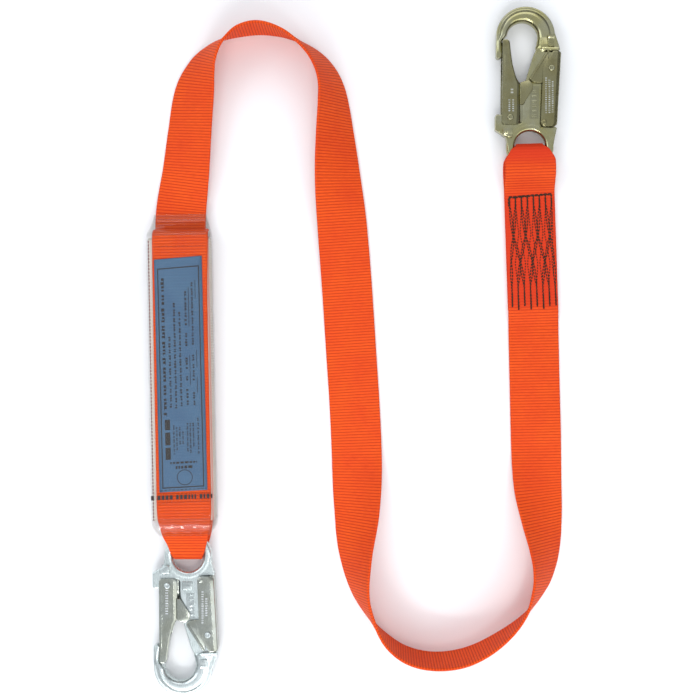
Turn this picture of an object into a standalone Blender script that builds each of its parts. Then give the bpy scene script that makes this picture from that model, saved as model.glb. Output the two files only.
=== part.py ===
"""Shock absorbing lanyard: a flat webbing strap with a double-locking snap hook at each end and an
energy absorber pack next to one of them, laid out flat.

+Z is up from the surface it lies on, +Y points from the absorber's hook to the far hook. Outlines are
written in millimetres and scaled by MM where they become meshes. A hook is drawn in its own plane with
the centre of its eye at (0, 0), its bow towards +v and its gate on the -u side.
"""

import math

import bmesh
import bpy
from mathutils import Matrix, Vector

MM = 0.001
GAP = 0.3  # between pieces that touch

# Webbing
STRAP_WIDTH = 45.0
STRAP_THICKNESS = 2.6
FLOOR_GAP = 0.2
STRAP_STATIONS = 88

# Hook
EYE_RADIUS = 13.6
EYE_BAR = 17.5  # centre of the eye to the middle of its ring
RING_HALF = 3.9
PLATE_HALF = 4.0  # half the forged plate's thickness
HOOK_MIDDLE = 9.7  # height of the hook's middle plane
SHEET = 1.6  # pressed steel of gate and lever
GATE_INSIDE = PLATE_HALF + 0.4
LEVER_INSIDE = 6.4
GATE_PIVOT = (-18.1, 25.5)
LOCK_PIVOT = (18.2, 68.6)
RIVET_RADIUS = 2.2
RIVET_HOLE = 2.55
BOW_INNER = ((-6.8, 96.7), 13.6)
BOW_OUTER = ((-4.0, 98.0), 26.0)
BOW_RIM = 1.8  # flat rim left outside the rounded bow

# Places of the eye bars and of the absorber pack
HOOK_A_BAR = (-147.6, -164.7)
HOOK_B_BAR = (156.5, 164.7)
PACK_PLACE = (-152.5, -28.8)
PACK_TURN = 1.1  # degrees

# Absorber pack: heights above the floor and stretches along the pack
SLEEVE_WIDTH = 57.5
SLEEVE_TOP = 25.7
SLEEVE_WALL = 0.8
CORE_WIDTH = 54.5
CORE_BOTTOM = 4.0
CORE_LAYERS = 7
CORE_SHEET = 2.2
CORE_PITCH = 2.47
CORE_ENDS = (-121.0, 126.0)
FRONT_WIDTH = 48.0
FRONT_BOTTOM = 21.3
FRONT_END = -124.0
FRONT_FOLD = (128.0, 14.6, 9.3)  # where the top fold is centred, and its outer radius
BACK_BOTTOM = 1.1
LABEL_SIZE = (42.0, 205.0, 0.4)

# Loop round the far hook's eye, measured from the eye bar
LOOP_HALF_HEIGHT = 8.6
LOOP_REACH = 20.6
LAP_END = -131.0
LAP_START = -27.0

# Strap route: x, y, twist in degrees, height of the lower edge. A positive twist lifts the edge on the
# right of travel and a negative one the edge on the left, until the webbing stands on its other edge.
ROUTE = (
    (-155.0, 99.8, 0, 6.2),
    (-155.1, 108.2, 0, 5.4),
    (-154.9, 124.0, 1, 3.4),
    (-153.0, 141.0, 7, 1.0),
    (-150.3, 159.6, 15, 0.1),
    (-146.4, 195.6, 24, 0),
    (-141.8, 231.0, 32, 0),
    (-134.6, 253.0, 50, 0),
    (-125.4, 266.4, 64, 0),
    (-115.5, 274.8, 74, 0),
    (-101.0, 281.8, 85, 0),
    (-83.0, 284.6, 88, 0),
    (-62.0, 280.0, 83, 0),
    (-45.0, 270.4, 76, 0),
    (-33.0, 260.0, 70, 0),
    (-24.6, 247.6, 65, 0),
    (-19.8, 233.9, 60, 0),
    (-17.8, 217.0, 53, 0),
    (-16.6, 193.2, 43, 0),
    (-14.4, 155.0, 26, 0),
    (-10.6, 112.8, 10, 0),
    (-6.3, 57.0, 2, 0),
    (-2.6, 0.0, 0, 0),
    (0.6, -50.0, 0, 0),
    (2.6, -98.7, -5, 0),
    (2.4, -141.0, -27, 0),
    (1.0, -177.0, -49, 0),
    (5.0, -212.0, -70, 0),
    (15.4, -236.5, -82, 0),
    (28.4, -254.4, -91, 0),
    (47.5, -267.6, -94, 0),
    (73.0, -272.6, -94, 0),
    (101.0, -268.0, -93, 0),
    (129.0, -252.6, -88, 0),
    (152.0, -231.0, -77, 0),
    (164.4, -207.4, -64, 0),
    (168.4, -190.0, -55, 0),
    (168.9, -171.5, -44, 0),
    (166.9, -148.2, -29, 0),
    (164.4, -121.2, -12, 0),
)
ROUTE_END = (160.9, 33.3)


# ---------------------------------------------------------------------------------------------------
# Scene, materials and mesh helpers


def clear_scene():
    for obj in list(bpy.data.objects):
        bpy.data.objects.remove(obj, do_unlink=True)


def make_material(name, color, roughness, metallic=0.0, alpha=1.0):
    material = bpy.data.materials.new(name)
    material.use_nodes = True
    shader = material.node_tree.nodes["Principled BSDF"]
    shader.inputs["Base Color"].default_value = (*color, 1.0)
    shader.inputs["Roughness"].default_value = roughness
    shader.inputs["Metallic"].default_value = metallic
    shader.inputs["Alpha"].default_value = alpha
    return material


def place(obj, parent, location=(0, 0, 0)):
    """Hang an object on an empty, at a place given in that empty's own frame."""
    obj.parent = parent
    obj.location = location
    return obj


def make_empty(name, matrix, parent=None):
    empty = bpy.data.objects.new(name, None)
    bpy.context.collection.objects.link(empty)
    empty.parent = parent
    empty.matrix_local = matrix
    return empty


def mesh_object(name, vertices, faces, material=None):
    """A closed mesh from corners in millimetres, its faces turned outwards."""
    mesh = bpy.data.meshes.new(name)
    mesh.from_pydata([Vector(v) * MM for v in vertices], [], faces)
    shape = bmesh.new()
    shape.from_mesh(mesh)
    bmesh.ops.recalc_face_normals(shape, faces=shape.faces)
    shape.to_mesh(mesh)
    shape.free()
    if material:
        mesh.materials.append(material)
    obj = bpy.data.objects.new(name, mesh)
    bpy.context.collection.objects.link(obj)
    return obj


def shade_round(obj, angle=35):
    obj.data.shade_smooth()
    obj.data.set_sharp_from_angle(angle=math.radians(angle))
    return obj


def arc(center, radius, start, end, steps):
    """Points on a circle from one angle to another, in degrees, both ends included."""
    points = []
    for i in range(steps + 1):
        angle = math.radians(start + (end - start) * i / steps)
        points.append((center[0] + radius * math.cos(angle), center[1] + radius * math.sin(angle)))
    return points


def prism(name, outline, low, high, material=None, plane="xy"):
    """An outline carried along the third axis from low to high."""

    def corner(point, depth):
        return (*point, depth) if plane == "xy" else (depth, *point)

    count = len(outline)
    vertices = [corner(p, low) for p in outline] + [corner(p, high) for p in outline]
    faces = [tuple(range(count)), tuple(range(count, 2 * count))]
    for i in range(count):
        j = (i + 1) % count
        faces.append((i, j, count + j, count + i))
    return mesh_object(name, vertices, faces, material)


def loft(name, rings, material=None, closed=False):
    """Skin rings of equally many points. Ends are capped unless the rings run round in a circle."""
    size = len(rings[0])
    vertices = [point for ring in rings for point in ring]
    faces = []
    for i in range(len(rings) if closed else len(rings) - 1):
        here, there = i * size, (i + 1) % len(rings) * size
        for j in range(size):
            k = (j + 1) % size
            faces.append((here + j, here + k, there + k, there + j))
    if not closed:
        faces.append(tuple(range(size)))
        faces.append(tuple(range(len(vertices) - size, len(vertices))))
    return mesh_object(name, vertices, faces, material)


def lathe(name, profile, segments, material=None):
    """Turn (radius, height) points about the Z axis. The profile starts and ends on the axis."""
    rings = []
    for radius, height in profile[1:-1]:
        rings.append([(*p, height) for p in arc((0, 0), radius, 0, 360, segments)[:-1]])
    obj = loft(name, rings, material)
    return shade_round(obj)


def combine(obj, other, operation="UNION"):
    """Add or cut a helper shape, which stays in the file as a hidden guide."""
    other.hide_render = True
    other.display_type = "WIRE"
    other.parent = obj
    modifier = obj.modifiers.new(other.name, "BOOLEAN")
    modifier.operation = operation
    modifier.object = other
    modifier.solver = "EXACT"
    return obj


def drill(obj, center, radius, low, high, segments=20):
    cutter = prism(obj.name + "_drill", arc(center, radius, 0, 360, segments)[:-1], low, high)
    return combine(obj, cutter, "DIFFERENCE")


def oval(center, across, half_width, half_height, count=12, squareness=2.6):
    """A rounded section in the upright plane that holds the direction across."""
    ring = []
    for i in range(count):
        angle = 2 * math.pi * (i + 0.5) / count
        c, s = math.cos(angle), math.sin(angle)
        side = math.copysign(abs(c) ** (2 / squareness), c) * half_width
        up = math.copysign(abs(s) ** (2 / squareness), s) * half_height
        ring.append((center[0] + across[0] * side, center[1] + across[1] * side, up))
    return ring


# ---------------------------------------------------------------------------------------------------
# Snap hook, drawn with its eye centred on (0, 0)


def bow_span(angle):
    """The inner and the outer point of the bow in one direction from its inner circle's centre."""
    (cx, cy), inner = BOW_INNER
    (ox, oy), outer = BOW_OUTER
    dx, dy = math.cos(math.radians(angle)), math.sin(math.radians(angle))
    ax, ay = cx - ox, cy - oy
    along = ax * dx + ay * dy
    reach = -along + math.sqrt(along * along - ax * ax - ay * ay + outer * outer)
    return (cx + inner * dx, cy + inner * dy), (cx + reach * dx, cy + reach * dy)


def plate_outline():
    """Forged plate: ring, pivot lug with its ear, spine, and the bow's rim and nose."""
    inner_center, inner_radius = BOW_INNER
    outer_center, outer_radius = BOW_OUTER
    outline = arc((0, 0), 19.5, 180, 352, 14)
    outline += [(21.2, 2.0), (21.6, 6.0), (23.8, 16.2), (22.8, 17.0), (14.6, 17.9), (12.6, 20.0)]
    outline += [(19.3, 49.0), (24.0, 70.0), (24.9, 84.3), (26.4, 85.4), (26.2, 88.0)]
    outline += arc(outer_center, outer_radius, 6, 178, 16)
    outline += [(-30.3, 92.0)]
    outline += arc((-27.75, 80.6), 2.55, 180, 360, 6)
    outline += [(-25.2, 95.4)]
    outline += arc(inner_center, inner_radius + 2.8, 184, 0, 10)
    outline += [(8.2, 90.0), (5.6, 86.0), (2.8, 81.0), (-3.6, 59.6)]
    outline += arc(GATE_PIVOT, 34.4, 64, 54, 2)
    outline += [(2.6, 50.0), (-8.3, 20.2), (-12.2, 20.2)]
    outline += arc(GATE_PIVOT, 5.9, 0, 150, 8)
    outline += [(-26.0, 28.2), (-29.8, 28.2), (-31.2, 26.8), (-31.2, 14.6), (-22.0, 8.6)]
    return outline


def make_bow(name):
    """Rounded forging of the nose, the bow and the shoulder it ends in."""
    spans = [((-25.3, 79.6), (-30.0, 79.6), 3.4), ((-25.3, 82.0), (-30.2, 82.0), 4.4)]
    spans += [((-25.3, 93.0), (-30.0, 93.0), 4.8)]
    for angle in range(171, 8, -18):
        inside, outside = bow_span(angle)
        rise = 5.2 + 0.9 * math.sin(math.radians(min(angle, 90)))
        spans.append((inside, outside, rise))
    spans += [((5.6, 90.0), (24.6, 90.4), 5.6), ((3.9, 85.6), (25.6, 85.7), 5.4)]
    rings = []
    for inside, outside, rise in spans:
        inside, outside = Vector(inside), Vector(outside)
        across = (outside - inside).normalized()
        width = (outside - inside).length
        rim = BOW_RIM if width > 6 else 0.1
        center = inside + across * (width - rim) / 2
        rings.append(oval(center, across, (width - rim) / 2, rise))
    return loft(name, rings)


def make_eye_ring(name):
    rings = []
    for i in range(24):
        angle = 2 * math.pi * i / 24
        across = (math.cos(angle), math.sin(angle))
        center = (EYE_BAR * across[0], EYE_BAR * across[1])
        rings.append(oval(center, across, RING_HALF, PLATE_HALF + 0.2, 8, 2.3))
    return loft(name, rings, closed=True)


def make_hook_body(name, material):
    body = prism(name, plate_outline(), -PLATE_HALF, PLATE_HALF, material)
    drill(body, (0, 0), EYE_RADIUS + 2.0, -8, 8, 28)
    drill(body, GATE_PIVOT, RIVET_HOLE, -8, 8)
    drill(body, LOCK_PIVOT, RIVET_HOLE, -8, 8)
    drill(body, GATE_PIVOT, 6.8, 0.6, 8)
    combine(body, make_bow(name + "_bow"))
    combine(body, make_eye_ring(name + "_ring"))
    stop = [(-24.6, 9.6), (-16.0, 9.6), (-16.0, 16.2), (-24.6, 16.2)]
    combine(body, prism(name + "_stop", stop, -6.4, 6.4))
    return body


def gate_edge():
    """Inner edge of the gate's cheeks, from the pivot end to the tip."""
    return [(-9.8, 19.3), (-8.2, 21.6), (-7.5, 31.5), (-7.5, 55.9), (-11.7, 58.7), (-14.5, 67.1),
            (-16.8, 78.3), (-18.2, 91.0)]


def make_gate(name, material):
    """Channel of sheet steel over the pivot lug, with a wing on each cheek that the lever's claw stops."""
    inner = gate_edge()
    cheek = [(-25.3, 21.0), (-23.6, 19.3)] + inner
    cheek += [(-19.2, 94.0), (-24.0, 94.4), (-24.8, 93.0)]
    web = [(-7.5, 24.2), (-7.5, 54.6), (-9.2, 54.6), (-9.2, 24.2)]
    tip_web = [(-15.1, 70.0), (-16.8, 78.3), (-18.2, 91.0), (-19.2, 94.0), (-20.9, 94.0)]
    tip_web += [(-19.9, 90.8), (-18.4, 78.0), (-16.8, 69.8)]
    wing = [(-9.0, 37.0), (-6.2, 37.4), (2.0, 50.1), (2.0, 54.9), (-1.7, 58.7), (-9.0, 54.9)]
    top = GATE_INSIDE + SHEET
    gate = prism(name, web, -top, top, material)
    for side in (-1, 1):
        low, high = sorted((side * GATE_INSIDE, side * top))
        tag = "front" if side > 0 else "back"
        combine(gate, prism(f"{name}_{tag}_cheek", cheek, low, high))
        combine(gate, prism(f"{name}_{tag}_wing", wing, low, high))
    combine(gate, prism(name + "_tip_web", tip_web, -top, top))
    return drill(gate, GATE_PIVOT, RIVET_HOLE, -12, 12)


def make_lever(name, material):
    """Channel over the spine with two claws, one before and one behind the spine."""
    cheek = [(8.5, 20.6), (9.6, 17.6), (11.6, 16.9), (21.6, 17.3), (23.7, 19.4), (27.2, 81.8)]
    cheek += [(26.0, 83.6), (19.4, 83.6), (11.4, 70.0), (10.6, 66.0)]
    web = [(22.0, 20.0), (23.7, 20.0), (27.2, 81.8), (25.5, 82.6)]
    claw = [(14.6, 82.4), (-0.3, 60.0), (-0.8, 58.7), (0.3, 57.7), (2.1, 56.2), (6.5, 55.6)]
    claw += [(13.4, 56.0), (13.6, 68.0)]
    top = LEVER_INSIDE + SHEET
    lever = prism(name, web, -top, top, material)
    for side in (-1, 1):
        tag = "front" if side > 0 else "back"
        low, high = sorted((side * LEVER_INSIDE, side * top))
        combine(lever, prism(f"{name}_{tag}_cheek", cheek, low, high))
        low, high = sorted((side * GATE_INSIDE, side * (LEVER_INSIDE + 0.6)))
        combine(lever, prism(f"{name}_{tag}_claw", claw, low, high))
    return drill(lever, LOCK_PIVOT, RIVET_HOLE, -12, 12)


def make_rivet(name, inside, material):
    """Shaft with a domed head on each side, its heads clear of the cheeks they hold."""
    under, over = inside + SHEET + GAP, inside + SHEET + GAP + 1.0
    half = [(RIVET_RADIUS, under), (3.5, under), (3.5, under + 0.4), (1.9, over)]
    profile = [(0, -over)] + [(r, -h) for r, h in reversed(half)] + half + [(0, over)]
    return lathe(name, profile, 16, material)


def make_spring(name, turns, pitch, start, radius, wire, leg, material):
    """Torsion coil round a rivet with one leg running out to the sheet it pushes."""
    steps = 12
    points = []
    for i in range(int(turns * steps) + 1):
        angle = math.radians(leg[2]) + 2 * math.pi * i / steps
        height = start + pitch * i / steps
        points.append((radius * math.cos(angle), radius * math.sin(angle), height))
    points.insert(0, (leg[0], leg[1], start))
    curve = bpy.data.curves.new(name, "CURVE")
    curve.dimensions = "3D"
    curve.bevel_depth = wire * MM
    curve.bevel_resolution = 0
    curve.use_fill_caps = True
    spline = curve.splines.new("POLY")
    spline.points.add(len(points) - 1)
    for control, point in zip(spline.points, points):
        control.co = (*[value * MM for value in point], 1)
    curve.materials.append(material)
    obj = bpy.data.objects.new(name, curve)
    bpy.context.collection.objects.link(obj)
    return obj


def make_hook(prefix, bar, turned_over, steel, sheet, rivet):
    """A whole hook. Its swing empty is on the eye bar, and each moving piece is about its own rivet."""
    matrix = Matrix.Translation(Vector((bar[0], bar[1], HOOK_MIDDLE)) * MM)
    if turned_over:
        matrix = matrix @ Matrix.Rotation(math.pi, 4, "X")
    swing = make_empty(prefix + "_swing", matrix)
    eye = Vector((0, EYE_BAR, 0)) * MM
    place(make_hook_body(prefix + "_body", steel), swing, eye)
    spring_steel = bpy.data.materials["spring_steel"]
    pieces = (
        ("gate", GATE_PIVOT, make_gate, GATE_INSIDE, (2.3, 1.1, 1.4, 3.9, 0.5, (5.5, 18.0, -35))),
        ("lock", LOCK_PIVOT, make_lever, LEVER_INSIDE, (1.2, 0.9, 4.8, 3.3, 0.4, (5.0, -14.0, -30))),
    )
    for kind, pivot, make, inside, spring in pieces:
        at_pivot = Vector((pivot[0], pivot[1], 0)) * MM
        axis = make_empty(f"{prefix}_{kind}_axis", Matrix.Translation(eye + at_pivot), swing)
        name = prefix + ("_gate" if kind == "gate" else "_lock_lever")
        place(make(name, sheet), axis, -at_pivot)
        place(make_rivet(f"{prefix}_{kind}_rivet", inside, rivet), axis)
        turns, pitch, start, radius, wire, leg = spring
        coil = make_spring(
            f"{prefix}_{kind}_spring", turns, pitch, start, radius, wire, leg, spring_steel
        )
        place(coil, axis)


# ---------------------------------------------------------------------------------------------------
# Webbing strap and its sewn loops


def smooth_route(rows, count):
    """Rows read at even steps of length through a smooth curve that passes every row."""
    places = [0.0]
    for a, b in zip(rows, rows[1:]):
        places.append(places[-1] + math.dist(a[:2], b[:2]))
    read = []
    for i in range(count):
        where = places[-1] * i / (count - 1)
        k = max(j for j in range(len(rows) - 1) if places[j] <= where + 1e-9)
        step = places[k + 1] - places[k]
        t = (where - places[k]) / step
        row = []
        for value in range(len(rows[0])):
            start, end = rows[k][value], rows[k + 1][value]
            before, after = max(k - 1, 0), min(k + 2, len(rows) - 1)
            slope_a = (end - rows[before][value]) / (places[k + 1] - places[before])
            slope_b = (rows[after][value] - start) / (places[after] - places[k])
            row.append(
                start * (2 * t**3 - 3 * t**2 + 1)
                + end * (3 * t**2 - 2 * t**3)
                + slope_a * step * (t**3 - 2 * t**2 + t)
                + slope_b * step * (t**3 - t**2)
            )
        read.append(row)
    return read


def strap_rows():
    """The route down to the sewn lap of the far loop, where the webbing lies flat."""
    last_x, last_y = ROUTE[-1][:2]
    end_x, end_y = ROUTE_END
    run = [(last_x + (end_x - last_x) * s, last_y + (end_y - last_y) * s, 0, 0) for s in (0.25, 0.6, 1)]
    return list(ROUTE) + run


def strap_sections(rows):
    """Middle, cross direction and face direction of the webbing at each row."""
    sections = []
    for i, (x, y, twist, lift) in enumerate(rows):
        before, after = rows[max(i - 1, 0)], rows[min(i + 1, len(rows) - 1)]
        travel = Vector((after[0] - before[0], after[1] - before[1], 0)).normalized()
        left = Vector((-travel.y, travel.x, 0))
        angle = math.radians(twist)
        across = -left * math.cos(angle) + Vector((0, 0, math.sin(angle)))
        face = left * math.sin(angle) + Vector((0, 0, math.cos(angle)))
        half_height = STRAP_WIDTH / 2 * abs(math.sin(angle)) + STRAP_THICKNESS / 2 * abs(math.cos(angle))
        middle = Vector((x, y, FLOOR_GAP + lift + half_height))
        sections.append((middle, across, face))
    return sections


def make_strap(material):
    rings = []
    for middle, across, face in strap_sections(smooth_route(strap_rows(), STRAP_STATIONS)):
        side, top = across * STRAP_WIDTH / 2, face * STRAP_THICKNESS / 2
        rings.append([middle - side - top, middle + side - top, middle + side + top, middle - side + top])
    return shade_round(loft("strap", rings, material), 60)


def loop_side(inset, start, tops):
    """Half of the loop's side view, from its lower run round the bight to its upper run."""
    low = FLOOR_GAP + inset
    middle = FLOOR_GAP + LOOP_HALF_HEIGHT
    bight = LOOP_REACH - LOOP_HALF_HEIGHT
    points = [(start, low)]
    points += arc((bight, middle), LOOP_HALF_HEIGHT - inset, -90, 90, 10)
    return points + [(along, height - inset) for along, height in tops]


def far_loop_tops():
    """Upper surface of the far loop as it comes down from the eye bar to the lap."""
    crown, lap = 2 * LOOP_HALF_HEIGHT + FLOOR_GAP, FLOOR_GAP + 2 * STRAP_THICKNESS
    points = []
    for i in range(8):
        share = i / 7
        height = lap + (crown - lap) * (1 + math.cos(math.pi * share)) / 2
        points.append((LAP_START * share, height))
    return points


def plan_cut(name, outline):
    return prism(name, outline, -5, 40)


def make_far_loop(material):
    """Webbing turned round the far hook's eye bar and sewn back on itself."""
    tops = far_loop_tops()
    outer = loop_side(0, LAP_END, tops + [(LAP_END, tops[-1][1])])
    half = STRAP_WIDTH / 2
    loop = prism("hook_b_loop", outer, -half, half, material, "yz")
    inner = loop_side(STRAP_THICKNESS, LAP_START + 4.5, tops[:-1])
    combine(loop, prism("hook_b_loop_inside", inner, -half - 5, half + 5, None, "yz"), "DIFFERENCE")
    plan = [(-half, LAP_END - 5), (half, LAP_END - 5), (half, 0), (12.2, 15.0), (11.9, 30), (-11.9, 30)]
    plan += [(-12.2, 15.0), (-half, 0)]
    combine(loop, plan_cut("hook_b_loop_plan", plan), "INTERSECT")
    loop.location = Vector((HOOK_B_BAR[0], HOOK_B_BAR[1], 0)) * MM
    loop.rotation_euler.z = math.atan2(HOOK_B_BAR[0] - ROUTE_END[0], ROUTE_END[1] - HOOK_B_BAR[1]) + math.pi
    return loop


def make_comb(material, parent):
    """Lap seam: rows of thread joined along their top."""
    rows, pitch, thread = 8, 5.7, 0.9
    top, bottom = -28.5, -126.0
    left = -pitch * (rows - 1) / 2
    outline = [(left - thread / 2, top), (left - thread / 2, bottom)]
    for i in range(rows):
        x = left + pitch * i
        outline += [(x + thread / 2, bottom), (x + thread / 2, top - 2)]
        if i < rows - 1:
            outline += [(x + pitch - thread / 2, top - 2), (x + pitch - thread / 2, bottom)]
    outline.append((left + pitch * (rows - 1) + thread / 2, top))
    low = FLOOR_GAP + 2 * STRAP_THICKNESS + GAP
    comb = prism("hook_b_loop_stitching", outline, low, low + 0.5, material)
    comb.location = parent.location
    comb.rotation_euler = parent.rotation_euler
    return comb


def make_near_loop(material):
    """Webbing that leaves the pack, turns round the near hook's eye bar and goes back under the pack."""
    start = HOOK_A_BAR[1] - PACK_PLACE[1] - FRONT_END + 3 * GAP
    front = FRONT_BOTTOM + STRAP_THICKNESS
    crown = 2 * LOOP_HALF_HEIGHT + FLOOR_GAP
    tops = [(3.0, crown + 0.5), (-2.0, crown + 1.6), (-7.0, front - 2.6), (start, front)]
    inset = [(3.0, crown + 0.6), (-2.0, crown + 1.8), (-7.0, front - 2.2), (start, front)]
    lower = [(start, BACK_BOTTOM), (-7.0, BACK_BOTTOM + 0.5), (-1.0, BACK_BOTTOM + 1.2)]
    outer = lower + loop_side(0, start, tops)[1:]
    inner = [(along, height + STRAP_THICKNESS) for along, height in lower]
    inner += loop_side(STRAP_THICKNESS, start, inset)[1:]
    loop = prism("hook_a_loop", outer + inner[::-1], -24, 24, material, "yz")
    plan = [(-19.6, start - 5), (22.0, start - 5), (19.6, -2.0), (12.2, 15.0), (11.9, 30), (-11.9, 30)]
    plan += [(-12.2, 15.0), (-16.8, -2.0)]
    combine(loop, plan_cut("hook_a_loop_plan", plan), "INTERSECT")
    loop.location = Vector((HOOK_A_BAR[0], HOOK_A_BAR[1], 0)) * MM
    loop.rotation_euler.z = math.pi
    return loop


# ---------------------------------------------------------------------------------------------------
# Energy absorber pack, drawn along its own +Y with its middle at the pack's place


def core_outline():
    """Side view of the tear webbing folded to and fro."""
    half, turn = CORE_SHEET / 2, CORE_PITCH / 2
    near, far = CORE_ENDS[0] + turn + half, CORE_ENDS[1] - turn - half
    one_side, other_side = [], []
    for layer in range(CORE_LAYERS):
        height = CORE_BOTTOM + half + layer * CORE_PITCH
        forward = layer % 2 == 0
        start, end = (near, far) if forward else (far, near)
        first = one_side if forward else other_side
        second = other_side if forward else one_side
        first.append((start, height - half))
        second.append((start, height + half))
        if layer == CORE_LAYERS - 1:
            first.append((end, height - half))
            second.append((end, height + half))
            continue
        sweep = (-90, 90) if forward else (270, 90)
        first += arc((end, height + turn), turn + half, *sweep, 4)
        second += arc((end, height + turn), turn - half, *sweep, 2)
    return one_side + other_side[::-1]


def make_front_webbing(material):
    """Outer webbing over the front of the pack, folded down over its top."""
    along, low, outer = FRONT_FOLD
    top = FRONT_BOTTOM + STRAP_THICKNESS
    inner = outer - STRAP_THICKNESS
    outline = [(FRONT_END, FRONT_BOTTOM)]
    outline += arc((along, low), inner, 90, 0, 5)
    outline += [(along + inner, low - 1.4), (along + outer, low - 1.4)]
    outline += arc((along, low), outer, 0, 90, 6)
    outline.append((FRONT_END, top))
    return prism("pack_front_webbing", outline, -FRONT_WIDTH / 2, FRONT_WIDTH / 2, material, "yz")


def rounded_section(width, low, high, radius, along, corner_steps=4):
    """A rounded rectangle across the pack at one place along it."""
    half = width / 2 - radius
    corners = ((half, high - radius, 0), (-half, high - radius, 90), (-half, low + radius, 180),
               (half, low + radius, 270))
    ring = []
    for x, z, start in corners:
        ring += [(px, along, pz) for px, pz in arc((x, z), radius, start, start + 90, corner_steps)]
    return ring


def make_sleeve(material):
    """Clear shrunk sleeve: a tube open at both ends, necked in round the strap and the loop."""
    stations = (
        (-134.0, 44.5, 0.8, 20.5, 4.0),
        (-129.0, 52.0, 0.2, 23.6, 5.0),
        (-124.0, SLEEVE_WIDTH, 0.0, SLEEVE_TOP, 5.8),
        (0.0, SLEEVE_WIDTH, 0.0, SLEEVE_TOP, 5.8),
        (128.0, SLEEVE_WIDTH, 0.0, SLEEVE_TOP, 5.8),
        (134.0, 57.0, 0.4, 24.6, 5.6),
        (139.5, 53.5, 1.0, 16.4, 5.0),
        (144.0, 51.0, 1.4, 11.6, 3.8),
        (151.0, 49.6, 1.4, 10.2, 3.2),
    )
    outer, inner = [], []
    for along, width, low, high, radius in stations:
        outer.append(rounded_section(width, low, high, radius, along))
        wall = SLEEVE_WALL
        inner.append(
            rounded_section(width - 2 * wall, low + wall, high - wall, radius - wall, along)
        )
    return shade_round(loft("shrink_sleeve", outer + inner[::-1], material, closed=True), 50)


def make_pack(orange, white, label, sleeve, thread):
    matrix = Matrix.Translation(Vector((PACK_PLACE[0], PACK_PLACE[1], 0)) * MM)
    frame = make_empty("pack_frame", matrix @ Matrix.Rotation(math.radians(PACK_TURN), 4, "Z"))
    half = CORE_WIDTH / 2
    core = prism("tear_webbing_core", core_outline(), -half, half, white, "yz")
    place(core, frame)
    place(make_front_webbing(orange), frame, Vector((0.8, 0, 0)) * MM)
    back = [(FRONT_END, BACK_BOTTOM), (CORE_ENDS[1], BACK_BOTTOM)]
    back += [(y, BACK_BOTTOM + STRAP_THICKNESS) for y, z in reversed(back)]
    half = STRAP_WIDTH / 2
    place(prism("pack_back_webbing", back, -half, half, orange, "yz"), frame)
    width, length, thickness = LABEL_SIZE
    low = FRONT_BOTTOM + STRAP_THICKNESS + GAP
    corners = [(-width / 2, -length / 2), (width / 2, -length / 2), (width / 2, length / 2),
               (-width / 2, length / 2)]
    tag = place(prism("label", corners, low, low + thickness, label), frame, Vector((-0.6, 8.5, 0)) * MM)
    tag.rotation_euler.z = math.radians(0.35)
    for name, along in (("pack_tack_upper", 121.0), ("pack_tack_lower", -107.0)):
        bar = [(-21.0, -0.7), (21.0, -0.7), (21.0, 0.7), (-21.0, 0.7)]
        tack = prism(name, bar, low, low + thickness, thread)
        place(tack, frame, Vector((1.2, along, 0)) * MM)
    place(make_sleeve(sleeve), frame)


def main():
    clear_scene()
    orange = make_material("orange_webbing", (0.85, 0.12, 0.02), 0.75)
    white = make_material("tear_webbing", (0.80, 0.74, 0.66), 0.85)
    label = make_material("label_blue", (0.08, 0.17, 0.28), 0.5)
    sleeve = make_material("clear_sleeve", (0.90, 0.90, 0.90), 0.12, 0.0, 0.35)
    thread = make_material("thread_black", (0.03, 0.02, 0.02), 0.8)
    make_material("spring_steel", (0.45, 0.45, 0.46), 0.3, 1.0)
    olive = make_material("zinc_yellow", (0.50, 0.46, 0.33), 0.35, 1.0)
    olive_sheet = make_material("zinc_yellow_sheet", (0.46, 0.42, 0.28), 0.33, 1.0)
    silver = make_material("zinc_clear", (0.66, 0.68, 0.66), 0.3, 1.0)
    silver_sheet = make_material("zinc_clear_sheet", (0.60, 0.60, 0.54), 0.3, 1.0)
    rivet = make_material("rivet_steel", (0.60, 0.57, 0.48), 0.3, 1.0)

    make_pack(orange, white, label, sleeve, thread)
    make_strap(orange)
    make_near_loop(orange)
    make_comb(thread, make_far_loop(orange))
    make_hook("hook_a", HOOK_A_BAR, True, silver, silver_sheet, rivet)
    make_hook("hook_b", HOOK_B_BAR, False, olive, olive_sheet, rivet)


main()
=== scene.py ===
"""Looks of the shock absorbing lanyard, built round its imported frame.

Outlines are in millimetres and scaled by MM where they become meshes. A hook is drawn in its own plane
with the centre of its eye at (0, 0), its bow towards +v and its gate on the -u side.
"""

import math

import bmesh
import bpy
import numpy as np
from mathutils import Matrix, Vector


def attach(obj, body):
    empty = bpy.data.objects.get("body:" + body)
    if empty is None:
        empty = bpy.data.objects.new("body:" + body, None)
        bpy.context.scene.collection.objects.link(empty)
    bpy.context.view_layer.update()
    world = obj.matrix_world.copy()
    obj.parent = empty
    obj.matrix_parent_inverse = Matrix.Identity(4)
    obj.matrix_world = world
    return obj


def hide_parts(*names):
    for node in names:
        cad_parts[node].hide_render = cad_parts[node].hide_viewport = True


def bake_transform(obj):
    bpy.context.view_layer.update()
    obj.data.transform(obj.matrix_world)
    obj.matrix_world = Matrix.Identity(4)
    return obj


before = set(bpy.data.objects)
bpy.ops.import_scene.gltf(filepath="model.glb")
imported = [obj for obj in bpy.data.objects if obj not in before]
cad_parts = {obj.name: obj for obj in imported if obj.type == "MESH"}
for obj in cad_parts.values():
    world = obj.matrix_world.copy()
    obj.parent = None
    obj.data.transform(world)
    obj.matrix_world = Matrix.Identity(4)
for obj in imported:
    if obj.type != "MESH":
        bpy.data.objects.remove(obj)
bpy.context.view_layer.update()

MM = 0.001
UP = Vector((0, 0, 1))
RNG = np.random.default_rng(7)

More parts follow.
